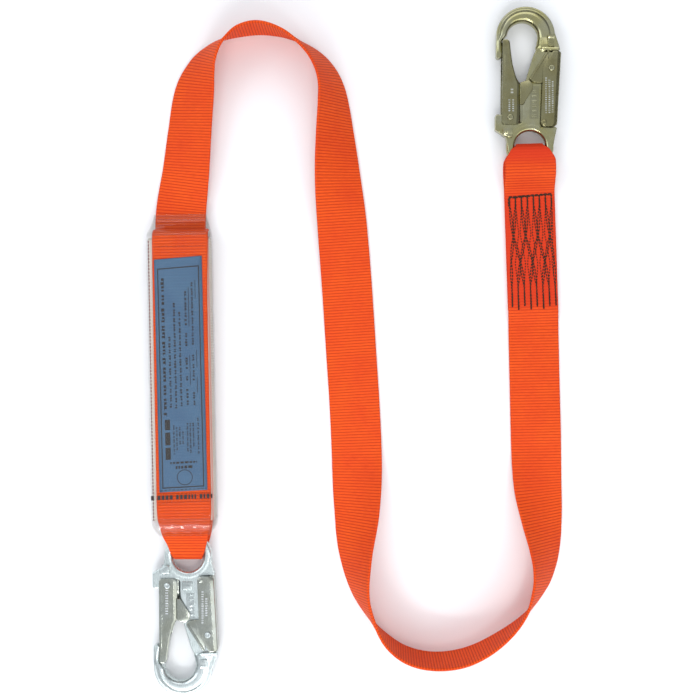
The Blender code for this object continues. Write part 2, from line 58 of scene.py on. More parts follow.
# Studio
LENS, SENSOR = 57.14, 36
CAMERA_PLACE = (-0.0036, 0.0012, 1.0)
FLOOR_HALF, FLOOR_LEVEL = 5000, -0.3
LIGHTS = (  # name, place, what it faces, size, power in watts, colour
    ("key", (0.2, -1.3, 1.1), (0, 0, 0), (1.8, 1.2), 11.4, (0.93, 0.96, 1)),
    ("side", (1.25, -0.75, 1.15), (-0.15, -0.25, 0), (0.95, 0.85), 3.9, (1, 1, 1)),
    ("left", (-1.3, 0.5, 1.1), (0, 0, 0), (1.3, 1.2), 9, (0.88, 0.94, 1)),
    ("back", (0.1, 1.35, 1.2), (0, 0, 0), (1.4, 0.9), 5, (1, 1, 1)),
    ("spark", (0.13, -0.48, 1.1), (-0.1, -0.15, 0), (0.13, 0.13), 1.2, (1, 1, 1)),
    ("strip", (-0.30, -0.95, 0.92), (-0.16, -0.16, 0), (0.5, 0.06), 3.0, (1, 1, 1)),
)
SKY_COLOR = (0.90, 0.94, 1.0, 1)
SKY_FADE = (0.25, 0.68, 0.20, 0.80)  # from and to this height of the sky, from and to this strength

# Webbing
STRAP_WIDTH = 45.0
STRAP_THICKNESS = 2.6
FLOOR_GAP = 0.2
RIB_PITCH = 2.55
RIB_DEPTH = 0.26
RIB_STEPS = 5
YARN_PITCH = 0.7

# Hook
EYE_RADIUS = 13.6
EYE_BAR = 17.5
RING_HALF = 3.9
PLATE_HALF = 4.0
HOOK_MIDDLE = 9.7
SHEET = 1.6
WEB = 1.7
GATE_INSIDE = PLATE_HALF + 0.4
LEVER_INSIDE = 6.4
GATE_PIVOT = (-18.1, 25.5)
LOCK_PIVOT = (18.2, 68.6)
RIVET_RADIUS = 2.2
BOW_INNER = ((-6.8, 96.7), 13.6)
BOW_OUTER = ((-4.0, 98.0), 26.0)
BOW_RIM = 2.2

# Places
HOOK_A_BAR = (-147.6, -164.7)
HOOK_B_BAR = (156.5, 164.7)
PACK_PLACE = (-152.5, -28.8)
PACK_TURN = 1.1
ROUTE_END = (160.9, 33.3)
STRAP_STOP = 12.6  # the strap ends this far short of the route's end, under the lap
BIGHT = ((12, 8.8), 7.3, 90, -90, 8)  # arc of webbing round an eye bar, measured from the bar
LAP_TURN = math.atan2(HOOK_B_BAR[0] - ROUTE_END[0], ROUTE_END[1] - HOOK_B_BAR[1]) + math.pi

# Strap route: x, y, twist in degrees, height of the lower edge
ROUTE = (
    (-155.0, 99.8, 0, 6.2),
    (-155.1, 108.2, 0, 5.4),
    (-154.9, 124.0, 1, 3.4),
    (-153.0, 141.0, 7, 1.0),
    (-150.3, 159.6, 15, 0.1),
    (-146.4, 195.6, 24, 0),
    (-141.8, 231.0, 32, 0),
    (-134.6, 253.0, 50, 0),
    (-125.4, 266.4, 64, 0),
    (-115.5, 274.8, 74, 0),
    (-101.0, 281.8, 85, 0),
    (-83.0, 284.6, 88, 0),
    (-62.0, 280.0, 83, 0),
    (-45.0, 270.4, 76, 0),
    (-33.0, 260.0, 70, 0),
    (-24.6, 247.6, 65, 0),
    (-19.8, 233.9, 60, 0),
    (-17.8, 217.0, 53, 0),
    (-16.6, 193.2, 43, 0),
    (-14.4, 155.0, 26, 0),
    (-10.6, 112.8, 10, 0),
    (-6.3, 57.0, 2, 0),
    (-2.6, 0.0, 0, 0),
    (0.6, -50.0, 0, 0),
    (2.6, -98.7, -5, 0),
    (2.4, -141.0, -27, 0),
    (1.0, -177.0, -49, 0),
    (5.0, -212.0, -70, 0),
    (15.4, -236.5, -82, 0),
    (28.4, -254.4, -91, 0),
    (47.5, -267.6, -94, 0),
    (73.0, -272.6, -94, 0),
    (101.0, -268.0, -93, 0),
    (129.0, -252.6, -88, 0),
    (152.0, -231.0, -77, 0),
    (164.4, -207.4, -64, 0),
    (168.4, -190.0, -55, 0),
    (168.9, -171.5, -44, 0),
    (166.9, -148.2, -29, 0),
    (164.4, -121.2, -12, 0),
)


# ---------------------------------------------------------------------------------------------------
# Camera and light


def make_camera():
    data = bpy.data.cameras.new("camera")
    data.sensor_width = SENSOR
    data.lens = LENS
    camera = bpy.data.objects.new("camera", data)
    camera.location = CAMERA_PLACE
    bpy.context.scene.collection.objects.link(camera)
    bpy.context.scene.camera = camera


def make_light(name, location, target, size, power, color):
    data = bpy.data.lights.new(name, "AREA")
    data.shape = "RECTANGLE"
    data.size, data.size_y = size
    data.energy = power
    data.color = color
    light = bpy.data.objects.new(name, data)
    light.location = location
    direction = Vector(target) - Vector(location)
    light.rotation_euler = direction.to_track_quat("-Z", "Y").to_euler()
    bpy.context.scene.collection.objects.link(light)


def make_studio():
    """Soft lights, a sky that is darker near the horizon, and a plain pale floor."""
    for light in LIGHTS:
        make_light(*light)
    world = bpy.data.worlds.new("studio")
    bpy.context.scene.world = world
    world.use_nodes = True
    tree = world.node_tree
    sky = tree.nodes["Background"]
    sky.inputs["Color"].default_value = SKY_COLOR
    kinds = ("ShaderNodeTexCoord", "ShaderNodeSeparateXYZ", "ShaderNodeMapRange")
    where, split, fade = (tree.nodes.new(kind) for kind in kinds)
    for i, value in enumerate(SKY_FADE):
        fade.inputs[i + 1].default_value = value
    tree.links.new(where.outputs["Generated"], split.inputs[0])
    tree.links.new(split.outputs["Z"], fade.inputs[0])
    tree.links.new(fade.outputs[0], sky.inputs["Strength"])
    bpy.context.scene.view_settings.view_transform = "Standard"
    edges = (-FLOOR_HALF, FLOOR_HALF)
    floor = grid("floor", [[(x, y, FLOOR_LEVEL) for x in edges] for y in edges])
    floor.data.materials.append(plain("floor", (0.93, 0.93, 0.93), 0.7))


# ---------------------------------------------------------------------------------------------------
# Material helpers


class Nodes:
    """Short calls for building one material's node tree. A colour may leave out its fourth value, 1."""

    def __init__(self, name, **sockets):
        self.material = bpy.data.materials.new(name)
        self.material.use_nodes = True
        self.tree = self.material.node_tree
        self.shader = self.tree.nodes["Principled BSDF"]
        for key, value in sockets.items():
            self.set(key.replace("_", " "), value)

    def put(self, kind, out=0, settings=None, **inputs):
        """A new node's output. An input is given by its name, or by i and its number."""
        node = self.tree.nodes.new("ShaderNode" + kind)
        for key, value in (settings or {}).items():
            setattr(node, key, value)
        for key, value in inputs.items():
            self.feed(node.inputs[int(key[1:]) if key[1:].isdigit() else key], value)
        return node.outputs[out]

    def feed(self, socket, value):
        if isinstance(value, bpy.types.NodeSocket):
            self.tree.links.new(value, socket)
        else:
            socket.default_value = (*value, 1) if socket.type == "RGBA" and len(value) == 3 else value

    def math(self, operation, a, b=0.0):
        return self.put("Math", 0, {"operation": operation}, i0=a, i1=b)

    def times(self, a, b):
        return self.math("MULTIPLY", a, b)

    def mix(self, share, a, b):
        return self.put("Mix", 2, {"data_type": "RGBA"}, i0=share, i6=a, i7=b)

    def span(self, value, low, high, to_low=0.0, to_high=1.0):
        return self.put("MapRange", i0=value, i1=low, i2=high, i3=to_low, i4=to_high)

    def noise(self, vector, scale, detail=2.0):
        return self.put("TexNoise", Vector=vector, Scale=scale, Detail=detail)

    def web(self):
        """Places across and along webbing, in millimetres."""
        uv = self.put("UVMap", 0, {"uv_map": "web"})
        return [self.put("SeparateXYZ", k, Vector=uv) for k in (0, 1)]

    def bump(self, height, distance, strength):
        self.set("Normal", self.put("Bump", Height=height, Distance=distance, Strength=strength))

    def set(self, socket, value):
        self.feed(self.shader.inputs[socket], value)


def scaled(color, factor):
    return tuple(min(1, factor * c) for c in color)


def plain(name, color, roughness):
    return Nodes(name, Base_Color=color, Roughness=roughness).material


def webbing_material(name, color, trough_shade_and_streaks, red):
    """Ribbed webbing: a rib across every RIB_PITCH with painted shade in its troughs, fine warp yarns along
    it and redder patches; the tone attribute reddens it further, as painted shade where the webbing folds
    round a bar.
    """
    n = Nodes(name, Sheen_Weight=0.04, Sheen_Roughness=0.4, Sheen_Tint=(1.0, 0.4, 0.2),
              Specular_IOR_Level=0.16)
    across, along = n.web()
    rib = n.math("ABSOLUTE", n.math("SINE", n.times(along, math.pi / RIB_PITCH)))
    yarn = n.math("ABSOLUTE", n.math("SINE", n.times(across, math.pi / YARN_PITCH)))
    where = n.put("TexCoord", 3)
    patches = n.noise(where, 35.0, 3.0)
    streaks = n.noise(n.put("CombineXYZ", X=n.times(across, 0.12), Y=along), 1.6)
    tone = n.put("Attribute", 2, {"attribute_name": "tone"})
    # Painted shade: the colour darkens to trough_shade_and_streaks in the troughs between ribs.
    body = n.mix(n.span(rib, 0.0, 0.75), trough_shade_and_streaks, color)
    body = n.mix(n.span(patches, 0.35, 0.7, 0.0, 0.35), body, red)
    body = n.mix(n.span(streaks, 0.42, 0.75, 0.0, 0.3), body, trough_shade_and_streaks)
    # Where tone is set the webbing turns redder: along the stitched lap, and as painted shade in the fold of
    # the bight.
    body = n.mix(n.times(tone, 0.85), body, red)
    n.set("Base Color", body)
    n.set("Roughness", n.span(yarn, 0, 1, 0.8, 0.62))
    n.bump(n.math("ADD", n.times(yarn, 0.5), n.times(streaks, 0.8)), 0.00012, 0.7)
    return n.material


def metal_material(name, color, tint, roughness, seed, metallic=1.0, painted_edge_light=1.3):
    """Zinc plate: cloudy tone, darker blooms, fine scratches and a pitted surface, with painted shade
    darkening its creases and painted light on its convex rims: a painted highlight, or a painted dark outline
    where painted_edge_light is below 1.
    """
    n = Nodes(name, Metallic=metallic, Coat_Weight=0.4, Coat_Roughness=0.16)
    where = n.put("TexCoord", 3)
    moved = n.put("Mapping", Vector=where, Location=(seed, seed * 0.7, 0))
    clouds = n.noise(moved, 60.0, 3.0)
    bloom = n.noise(moved, 140.0)
    brushed = n.put("Mapping", Vector=where, Scale=(2600, 260, 900), Rotation=(0, 0, 0.5))
    scratch = n.noise(brushed, 1.0)
    pits = n.noise(moved, 1500.0)
    tone = n.mix(n.span(clouds, 0.35, 0.65), color, tint)
    tone = n.mix(n.span(bloom, 0.5, 0.8, 0, 0.5), tone, scaled(color, 0.72))
    edge = n.put("NewGeometry", 7)
    # Painted highlight: convex edges found by pointiness are lightened, or darkened into a painted outline
    # where painted_edge_light is below 1.
    tone = n.mix(n.span(edge, 0.51, 0.58, 0, 0.5), tone, scaled(tint, painted_edge_light))
    # Painted shade: concave creases found by pointiness are darkened.
    n.set("Base Color", n.mix(n.span(edge, 0.49, 0.43, 0, 0.75), tone, scaled(color, 0.30)))
    n.set("Roughness", n.span(scratch, 0.3, 0.75, roughness - 0.05, roughness + 0.08))
    n.bump(n.math("ADD", n.times(pits, 0.6), n.times(scratch, 0.35)), 0.00004, 0.35)
    return n.material


METALS = (  # name, colour, tint, roughness, seed, then share of metal and painted edge light: the colour factor on convex edges, a painted highlight above 1 and a painted dark outline below 1
    ("spring_steel", (0.30, 0.30, 0.31), (0.38, 0.37, 0.36), 0.3, 5.0),
    ("zinc_yellow", (0.355, 0.33, 0.15), (0.375, 0.365, 0.24), 0.21, 1.0, 1.0, 0.6),
    ("zinc_yellow_sheet", (0.232, 0.207, 0.09), (0.25, 0.237, 0.133), 0.25, 2.0),
    # Pale bluish metals for the raised stamps: a painted highlight on them.
    ("worn_yellow", (0.62, 0.66, 0.70), (0.52, 0.52, 0.45), 0.25, 6.0),
    ("zinc_clear", (0.57, 0.635, 0.62), (0.635, 0.69, 0.685), 0.28, 3.0, 0.9, 0.4),
    ("zinc_clear_sheet", (0.32, 0.335, 0.28), (0.37, 0.395, 0.36), 0.22, 4.0),
    ("worn_clear", (0.86, 0.86, 0.88), (0.72, 0.74, 0.74), 0.22, 7.0),
)


def tear_material():
    """Undyed tear webbing with a broken maroon line near one edge and a pink one near the other."""
    n = Nodes("tear_webbing", Roughness=0.85)
    across, along = n.web()
    weave = n.times(n.math("SINE", n.times(across, 4.8)), n.math("SINE", n.times(along, 2.6)))
    ecru = n.mix(n.span(weave, -1, 1), (0.50, 0.45, 0.38), (0.86, 0.82, 0.75))
    dashed = n.math("GREATER_THAN", n.math("SINE", n.times(along, 2.1)), -0.45)
    left = n.math("LESS_THAN", across, -25.9)
    body = n.mix(n.times(left, dashed), ecru, (0.20, 0.06, 0.06))
    right = n.math("LESS_THAN", n.math("ABSOLUTE", n.math("SUBTRACT", across, 26.0)), 0.75)
    n.set("Base Color", n.mix(n.times(right, 0.7), body, (0.62, 0.22, 0.18)))
    n.bump(weave, 0.00015, 0.8)
    return n.material


def thread_material(name, color):
    n = Nodes(name, Roughness=0.85, Specular_IOR_Level=0.2)
    twist = n.noise(n.put("TexCoord", 3), 2200.0)
    light = tuple(c * 2.2 + 0.01 for c in color)
    n.set("Base Color", n.mix(n.span(twist, 0.3, 0.7), color, light))
    n.bump(twist, 0.0001, 0.6)
    return n.material


def label_material():
    """Printed woven label, a little rubbed, over the ribs of the webbing below."""
    n = Nodes("label_blue", Coat_Weight=0.15, Coat_Roughness=0.3)
    uv = n.put("UVMap", 0, {"uv_map": "web"})
    along = n.put("SeparateXYZ", 1, Vector=uv)
    where = n.put("TexCoord", 3)
    clouds = n.noise(where, 45.0, 4.0)
    bands = {"wave_type": "BANDS", "bands_direction": "X"}
    weave = n.put("TexWave", 0, bands, Vector=uv, Scale=0.9, Distortion=0.4)
    fine = n.noise(where, 900.0)
    tone = n.mix(n.span(clouds, 0.3, 0.7), (0.040, 0.118, 0.225), (0.054, 0.145, 0.253))
    n.set("Base Color", n.mix(n.span(fine, 0.4, 0.8, 0, 0.25), tone, (0.034, 0.092, 0.17)))
    n.set("Roughness", n.span(clouds, 0.3, 0.7, 0.42, 0.55))
    rib = n.math("SINE", n.times(along, 2 * math.pi / RIB_PITCH))
    n.bump(n.math("ADD", n.times(rib, 0.6), n.times(weave, 0.2)), 0.00012, 0.5)
    return n.material


def film_material(name, alpha, gloss):
    """Clear shrunk film. It shows what is behind it through one plain alpha."""
    n = Nodes(name, Base_Color=(0.20, 0.11, 0.05), Alpha=alpha, Roughness=0.08, Coat_Roughness=0.04,
              Specular_IOR_Level=0.5 * gloss, Coat_Weight=min(1, 0.6 * gloss), Coat_IOR=1.4 + 0.2 * gloss)
    stretched = n.put("Mapping", Vector=n.put("TexCoord", 3), Scale=(60, 160, 60))
    n.bump(n.noise(stretched, 1.0, 3.0), 0.0006, 0.5)
    return n.material


# ---------------------------------------------------------------------------------------------------
# Mesh helpers


def add_mesh(name, vertices, faces, uv=None, tone=None, smooth=True):
    mesh = bpy.data.meshes.new(name)
    vertices = np.asarray(vertices, float) * MM
    mesh.from_pydata(vertices.tolist(), [], [tuple(f) for f in faces])
    shape = bmesh.new()
    shape.from_mesh(mesh)
    bmesh.ops.recalc_face_normals(shape, faces=shape.faces)
    shape.to_mesh(mesh)
    shape.free()
    if uv is not None:
        layer = mesh.uv_layers.new(name="web")
        corners = np.zeros(len(mesh.loops), np.int32)
        mesh.loops.foreach_get("vertex_index", corners)
        layer.data.foreach_set("uv", np.asarray(uv, np.float32)[corners].ravel())
    if tone is not None:
        layer = mesh.attributes.new("tone", "FLOAT", "POINT")
        layer.data.foreach_set("value", np.asarray(tone, np.float32))
    if smooth:
        mesh.shade_smooth()
    obj = bpy.data.objects.new(name, mesh)
    bpy.context.scene.collection.objects.link(obj)
    return obj


def grid(name, rows, closed=False, caps=False, around=False, uv=None, tone=None):
    """Skin rows of equally many points. closed joins each row's ends, around joins last row to first."""
    rows = np.asarray(rows, float)
    count, size = rows.shape[:2]
    faces = []
    for i in range(count if around else count - 1):
        here, there = i * size, (i + 1) % count * size
        for j in range(size if closed else size - 1):
            k = (j + 1) % size
            faces.append((here + j, here + k, there + k, there + j))
    if caps:
        faces.append(tuple(range(size)))
        faces.append(tuple(range(count * size - size, count * size)))
    flat = None if uv is None else np.asarray(uv, float).reshape(-1, 2)
    tones = None if tone is None else np.repeat(tone, size)
    return add_mesh(name, rows.reshape(-1, 3), faces, flat, tones)


def arc(center, radius, start, end, steps):
    points = []
    for i in range(steps + 1):
        angle = math.radians(start + (end - start) * i / steps)
        points.append((center[0] + radius * math.cos(angle), center[1] + radius * math.sin(angle)))
    return points


def circle(count):
    """Cosine and sine of evenly spaced angles once round."""
    return [(math.cos(a), math.sin(a)) for a in np.linspace(0, 2 * math.pi, count + 1)[:-1]]


def place_flat(points, origin, angle):
    """Points of a piece drawn flat, turned and moved to its place. A height passes through unchanged."""
    c, s = math.cos(angle), math.sin(angle)
    return [(origin[0] + x * c - y * s, origin[1] + x * s + y * c, *z) for x, y, *z in points]


def pack_points(points):
    return place_flat(points, PACK_PLACE, math.radians(PACK_TURN))


def prisms(name, outlines, low, high):
    """Upright walls with flat ends round each outline, in one mesh."""
    vertices, faces = [], []
    for outline in outlines:
        first, count = len(vertices), len(outline)
        vertices += [(*p, w) for w in (low, high) for p in outline]
        faces += [tuple(range(first, first + count)), tuple(range(first + count, first + 2 * count))]
        for i in range(count):
            j = (i + 1) % count
            faces.append((first + i, first + j, first + count + j, first + count + i))
    return add_mesh(name, vertices, faces, smooth=False)


def prism(name, outline, low, high):
    return prisms(name, [outline], low, high)


def join(name, objects):
    """One mesh object from several, which are removed."""
    shape = bmesh.new()
    for obj in objects:
        shape.from_mesh(obj.data)
        bpy.data.objects.remove(obj, do_unlink=True)
    mesh = bpy.data.meshes.new(name)
    shape.to_mesh(mesh)
    shape.free()
    made = bpy.data.objects.new(name, mesh)
    bpy.context.scene.collection.objects.link(made)
    return made


def taken_mesh(obj):
    """The object's mesh, with the object itself gone."""
    mesh = obj.data
    bpy.data.objects.remove(obj, do_unlink=True)
    return mesh


def dress(obj, material, slot, *nodes, body="root"):
    """Gives a piece its material, the body it rides and the CAD nodes that it stands for. The slot is not
    used.
    """
    obj.data.materials.append(material)
    if body:
        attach(obj, body)
    if nodes:
        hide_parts(*nodes)


def apply_modifiers(obj):
    graph = bpy.context.evaluated_depsgraph_get()
    mesh = bpy.data.meshes.new_from_object(obj.evaluated_get(graph))
    obj.modifiers.clear()
    obj.data = mesh
    return obj


def boolean(obj, other, operation):
    modifier = obj.modifiers.new(other.name, "BOOLEAN")
    modifier.operation = operation
    modifier.object = other
    modifier.solver = "EXACT"
    apply_modifiers(obj)
    bpy.data.objects.remove(other, do_unlink=True)
    return obj


def bevelled(obj, width, segments=2, angle=30):
    modifier = obj.modifiers.new("edge", "BEVEL")
    modifier.width = width * MM
    modifier.segments = segments
    modifier.limit_method = "ANGLE"
    modifier.angle_limit = math.radians(angle)
    apply_modifiers(obj)
    obj.data.shade_smooth()
    obj.data.set_sharp_from_angle(angle=math.radians(40))
    return obj


def run_length(rows):
    return sum(math.dist(a[:2], b[:2]) for a, b in zip(rows, rows[1:]))


def smooth_route(rows, count):
    """Rows read at even steps of length through a smooth curve that passes every row."""
    places = np.array([run_length(rows[: i + 1]) for i in range(len(rows))])
    rows = np.asarray(rows, float)
    slopes = np.zeros_like(rows)
    for i in range(len(rows)):
        before, after = max(i - 1, 0), min(i + 1, len(rows) - 1)
        slopes[i] = (rows[after] - rows[before]) / (places[after] - places[before])
    where = np.linspace(0, places[-1], count)
    k = np.clip(np.searchsorted(places, where, side="right") - 1, 0, len(rows) - 2)
    step = np.diff(places)[k][:, None]
    t = (where - places[k])[:, None] / step
    read = rows[k] * (2 * t**3 - 3 * t**2 + 1) + rows[k + 1] * (3 * t**2 - 2 * t**3)
    read += slopes[k] * step * (t**3 - 2 * t**2 + t) + slopes[k + 1] * step * (t**3 - t**2)
    return read, where


def ribbed_route(rows, pitch=RIB_PITCH):
    """The route read in enough steps to draw every rib."""
    return smooth_route(rows, int(run_length(rows) / pitch) * RIB_STEPS + 1)


# ---------------------------------------------------------------------------------------------------
# Webbing


# Columns of points across webbing, closer together toward its edges
HALF_COLUMNS = (0.2, 0.45, 0.7, 0.86, 0.93, 0.968, 0.992, 1)
COLUMNS = np.array([-c for c in HALF_COLUMNS[::-1]] + [0, *HALF_COLUMNS])


def ribbon(name, middle, across, face, half, along, thickness=STRAP_THICKNESS, tone=0.0, ribs=1.0,
           pitch=RIB_PITCH, depth=RIB_DEPTH, columns=COLUMNS):
    """Flat webbing along a line of sections, ribbed on both faces and rounded at its edges."""
    tone, ribs = (np.broadcast_to(value, len(middle)) for value in (tone, ribs))
    rows, uvs = [], []
    for side, xs in ((1, columns), (-1, columns[-2:0:-1])):
        start = (1 - 1.3 / half)[:, None]
        out = np.clip((np.abs(xs) - start) / (1 - start), 0, 1)
        height = thickness / 2 * np.sqrt(np.clip(1 - out**2, 0, 1))
        phase = along / pitch + (0 if side > 0 else 0.5)
        wave = 1 - np.abs(np.sin(math.pi * phase)) ** 0.8
        inside = np.clip((half[:, None] * (1 - np.abs(xs)) - 0.5) / 1.6, 0.12, 1)
        height = height - depth * (wave * ribs)[:, None] * inside * (height > 0)
        x = half[:, None] * xs
        lift = face[:, None] * (side * height)[..., None]
        rows.append(middle[:, None] + across[:, None] * x[..., None] + lift)
        uvs.append(np.stack([x, np.repeat(along[:, None], len(xs), 1)], -1))
    return grid(name, np.concatenate(rows, 1), closed=True, caps=True, uv=np.concatenate(uvs, 1), tone=tone)


def strap_sections():
    """Middle, across and face directions, and place along the strap, from the pack to the lap."""
    last, end = np.array(ROUTE[-1][:2]), np.array(ROUTE_END)
    stop = end - STRAP_STOP * (end - last) / np.linalg.norm(end - last)
    run = [(*(last + (stop - last) * share), 0, 0) for share in (0.25, 0.6, 1)]
    rows, along = ribbed_route(list(ROUTE) + run)
    travel = np.gradient(rows[:, :2], axis=0)
    travel /= np.linalg.norm(travel, axis=1)[:, None]
    left = np.stack([-travel[:, 1], travel[:, 0], np.zeros(len(rows))], 1)
    angle = np.radians(rows[:, 2:3])
    cos, sin = np.cos(angle), np.sin(angle)
    up = np.array([0, 0, 1.0])
    raised = STRAP_WIDTH / 2 * np.abs(sin) + STRAP_THICKNESS / 2 * np.abs(cos)
    middle = np.concatenate([rows[:, :2], FLOOR_GAP + rows[:, 3:4] + raised], 1)
    return middle, up * sin - left * cos, left * sin + up * cos, along


def make_strap(material):
    middle, across, face, along = strap_sections()
    half = np.full(len(middle), STRAP_WIDTH / 2)
    strap = ribbon("orange_strap", middle, across, face, half, along)
    dress(strap, material, "orange_webbing", "strap")


def side_ribbon(name, rows, **more):
    """Webbing bent in an upright plane. Rows: place along y, height, x, half width, tone, ribs, turn."""
    read, along = ribbed_route(rows, more.get("pitch", RIB_PITCH))
    middle = read[:, [2, 0, 1]]
    travel = np.gradient(middle[:, 1:], axis=0)
    travel /= np.linalg.norm(travel, axis=1)[:, None]
    turn = np.radians(read[:, 6])
    across = np.stack([np.cos(turn), np.sin(turn), 0 * turn], 1)
    face = np.stack([0 * turn, -travel[:, 1], travel[:, 0]], 1)
    return ribbon(name, middle, across, face, read[:, 3], along, tone=read[:, 4], ribs=read[:, 5], **more)


def blend_at_bar(loop):
    """Bakes the loop's transform into its mesh."""
    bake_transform(loop)


def far_loop_rows():
    """Lap, rise to the eye bar, bight and run back below, measured from the bar towards the hook."""
    rows = [(-145, 1.5), (-139, 1.6), (-134, 2.7), (-129, 4.0), (-122, 4.1), (-100, 4.1), (-75, 4.1),
            (-50, 4.1), (-34, 4.1), (-27, 4.2), (-20.25, 5.1), (-13.5, 10.1), (-6.75, 15.0), (0, 16.1),
            (6, 16.1)]
    rows += arc(*BIGHT) + [(4, 1.5), (-20, 1.5), (-60, 1.5), (-100, 1.5), (-127.5, 1.5)]
    neck = [22.5, 22.0, 18.6, 16.6, 13.0, 12.2, 11.8, 12.2, 13.0, 16.6, 18.6, 22.3]
    half = [22.5] * 13 + neck + [22.5] * 4
    # Tone: redder along the stitched lap, and round the bight as painted shade in the fold.
    tone = [0, 0, 0, 0.1, 0.8, 1, 1, 1, 1, 0.85, 0.3, 0.15, 0.1, 0.3, 0.8] + [1] * 9 + [0.5] + [0] * 4
    ribs = [1, 1, 1, 0.9, 0.25, 0.15, 0.15, 0.15, 0.25, 0.8] + [1] * 19
    places = place_flat([(0, along) for along, _ in rows], HOOK_B_BAR, LAP_TURN)
    turn = math.degrees(LAP_TURN)
    return [(y, z, x, h, t, r, turn) for (x, y), (_, z), h, t, r in zip(places, rows, half, tone, ribs)]


def make_far_loop(material):
    loop = side_ribbon("far_loop", far_loop_rows())
    dress(loop, material, "orange_webbing", "hook_b_loop", body=None)
    blend_at_bar(loop)


def near_loop_rows():
    """Pack webbing: top fold, front, round the near hook's eye bar and back under the pack."""
    rows = []

    def in_pack(along, z, half, shift=0.0):
        x, y = pack_points([(0.8, along)])[0]
        rows.append((y, z, x + shift, half, 0.0, 1.0, PACK_TURN))

    def at_bar(along, z, half, shift=0.0):
        share = min(1, max(0, (along + 11) / 14))
        x = -149.1 + 1.3 * share + shift
        rows.append((HOOK_A_BAR[1] - along, z, x, half, 0.0, 1.0, PACK_TURN * (1 - share)))

    for along, z in arc((128, 14.6), 8.0, -6, 90, 6):
        in_pack(along, z, 24.6, 0.9)
    in_pack(118, 22.6, 24.5, 0.7)
    in_pack(90, 22.6, 24.1, 0.2)
    for along in (50, 0, -50, -90, -108):
        in_pack(along, 22.6, 24)
    in_pack(-119, 22.6, 23.4)
    for place in ((-9, 21.9, 21.8), (-4, 19.6, 20.6, -0.8), (0.5, 17.7, 19.6, -0.8), (6, 16.4, 17.6, -0.4)):
        at_bar(*place)
    for (along, z), half in zip(arc(*BIGHT), (15.6, 14.6, 13.3, 12.9, 12.6, 12.9, 13.3, 14.6, 15.6)):
        at_bar(along, z, half)
    for place in ((5, 2.1, 18.0), (-1, 3.1, 20.0), (-7, 2.9, 21.5), (-13, 2.4, 22.4)):
        at_bar(*place)
    for along in (-110, -60, 0, 60, 125):
        in_pack(along, 2.4, 22.5)
    return rows


def make_pack_webbing(material):
    piece = side_ribbon("pack_webbing", near_loop_rows())
    nodes = ("pack_front_webbing", "pack_back_webbing", "hook_a_loop")
    dress(piece, material, "orange_webbing", *nodes, body=None)
    blend_at_bar(piece)


def make_core(material):
    """Tear webbing folded to and fro inside the pack."""
    bottom, layers, sheet, pitch = 4.0, 7, 2.2, 2.47
    near, far = -121.0 + pitch / 2 + sheet / 2, 130.0 - pitch / 2 - sheet / 2
    line = []
    for layer in range(layers):
        z = bottom + sheet / 2 + layer * pitch
        start, end = (near, far) if layer % 2 == 0 else (far, near)
        line += [(start + (end - start) * share, z) for share in (0, 0.02, 0.5, 0.98, 1)]
        if layer < layers - 1:
            sweep = (-90, 90) if layer % 2 == 0 else (270, 90)
            line += arc((end, z + pitch / 2), pitch / 2, *sweep, 6)[1:-1]
    placed = pack_points([(0, along, z) for along, z in line])
    rows = [(y, z, x, 27.2, 0.0, 1.0, PACK_TURN) for x, y, z in placed]
    core = side_ribbon("tear_core", rows, thickness=2.0, pitch=4.1, depth=0.12, columns=COLUMNS[::2])
    dress(core, material, "tear_webbing", "tear_webbing_core")


def on_line(points, want):
    """The place at this length along a line of points."""
    for a, b in zip(points, points[1:]):
        length = (b - a).length
        if want <= length or b is points[-1]:
            return a.lerp(b, min(1, want / length))
        want -= length


# Sections of one stitch: place along it, size and lift
STITCH = ((0.0, 0.35, -0.35), (0.14, 0.85, -0.05), (0.5, 1.0, 0.12), (0.86, 0.85, -0.05), (1.0, 0.35, -0.35))


def stitches(name, lines, radius, gap):
    """Rows of thread with gaps between stitches. Each line is its points and the length of a stitch."""
    vertices, faces = [], []
    for points, stitch in lines:
        points = [Vector(p) for p in points]
        total = sum((b - a).length for a, b in zip(points, points[1:]))
        place = 0.0
        while place < total - 0.3 * stitch:
            start, end = on_line(points, place), on_line(points, min(total, place + stitch))
            side = (end - start).normalized().cross(UP).normalized()
            side.rotate(Matrix.Rotation(RNG.uniform(-0.06, 0.06), 3, "Z"))
            first = len(vertices)
            for share, size, lift in STITCH:
                center = start.lerp(end, share) + UP * (lift * radius * 1.6)
                vertices += [center + (side * c + UP * s) * (size * radius) for c, s in circle(6)]
            for a in range(first, first + 6 * len(STITCH) - 6, 6):
                faces += [(a + j, a + (j + 1) % 6, a + 6 + (j + 1) % 6, a + 6 + j) for j in range(6)]
            faces += [tuple(range(first, first + 6)), tuple(range(len(vertices) - 6, len(vertices)))]
            place += stitch + gap
    return add_mesh(name, vertices, faces)


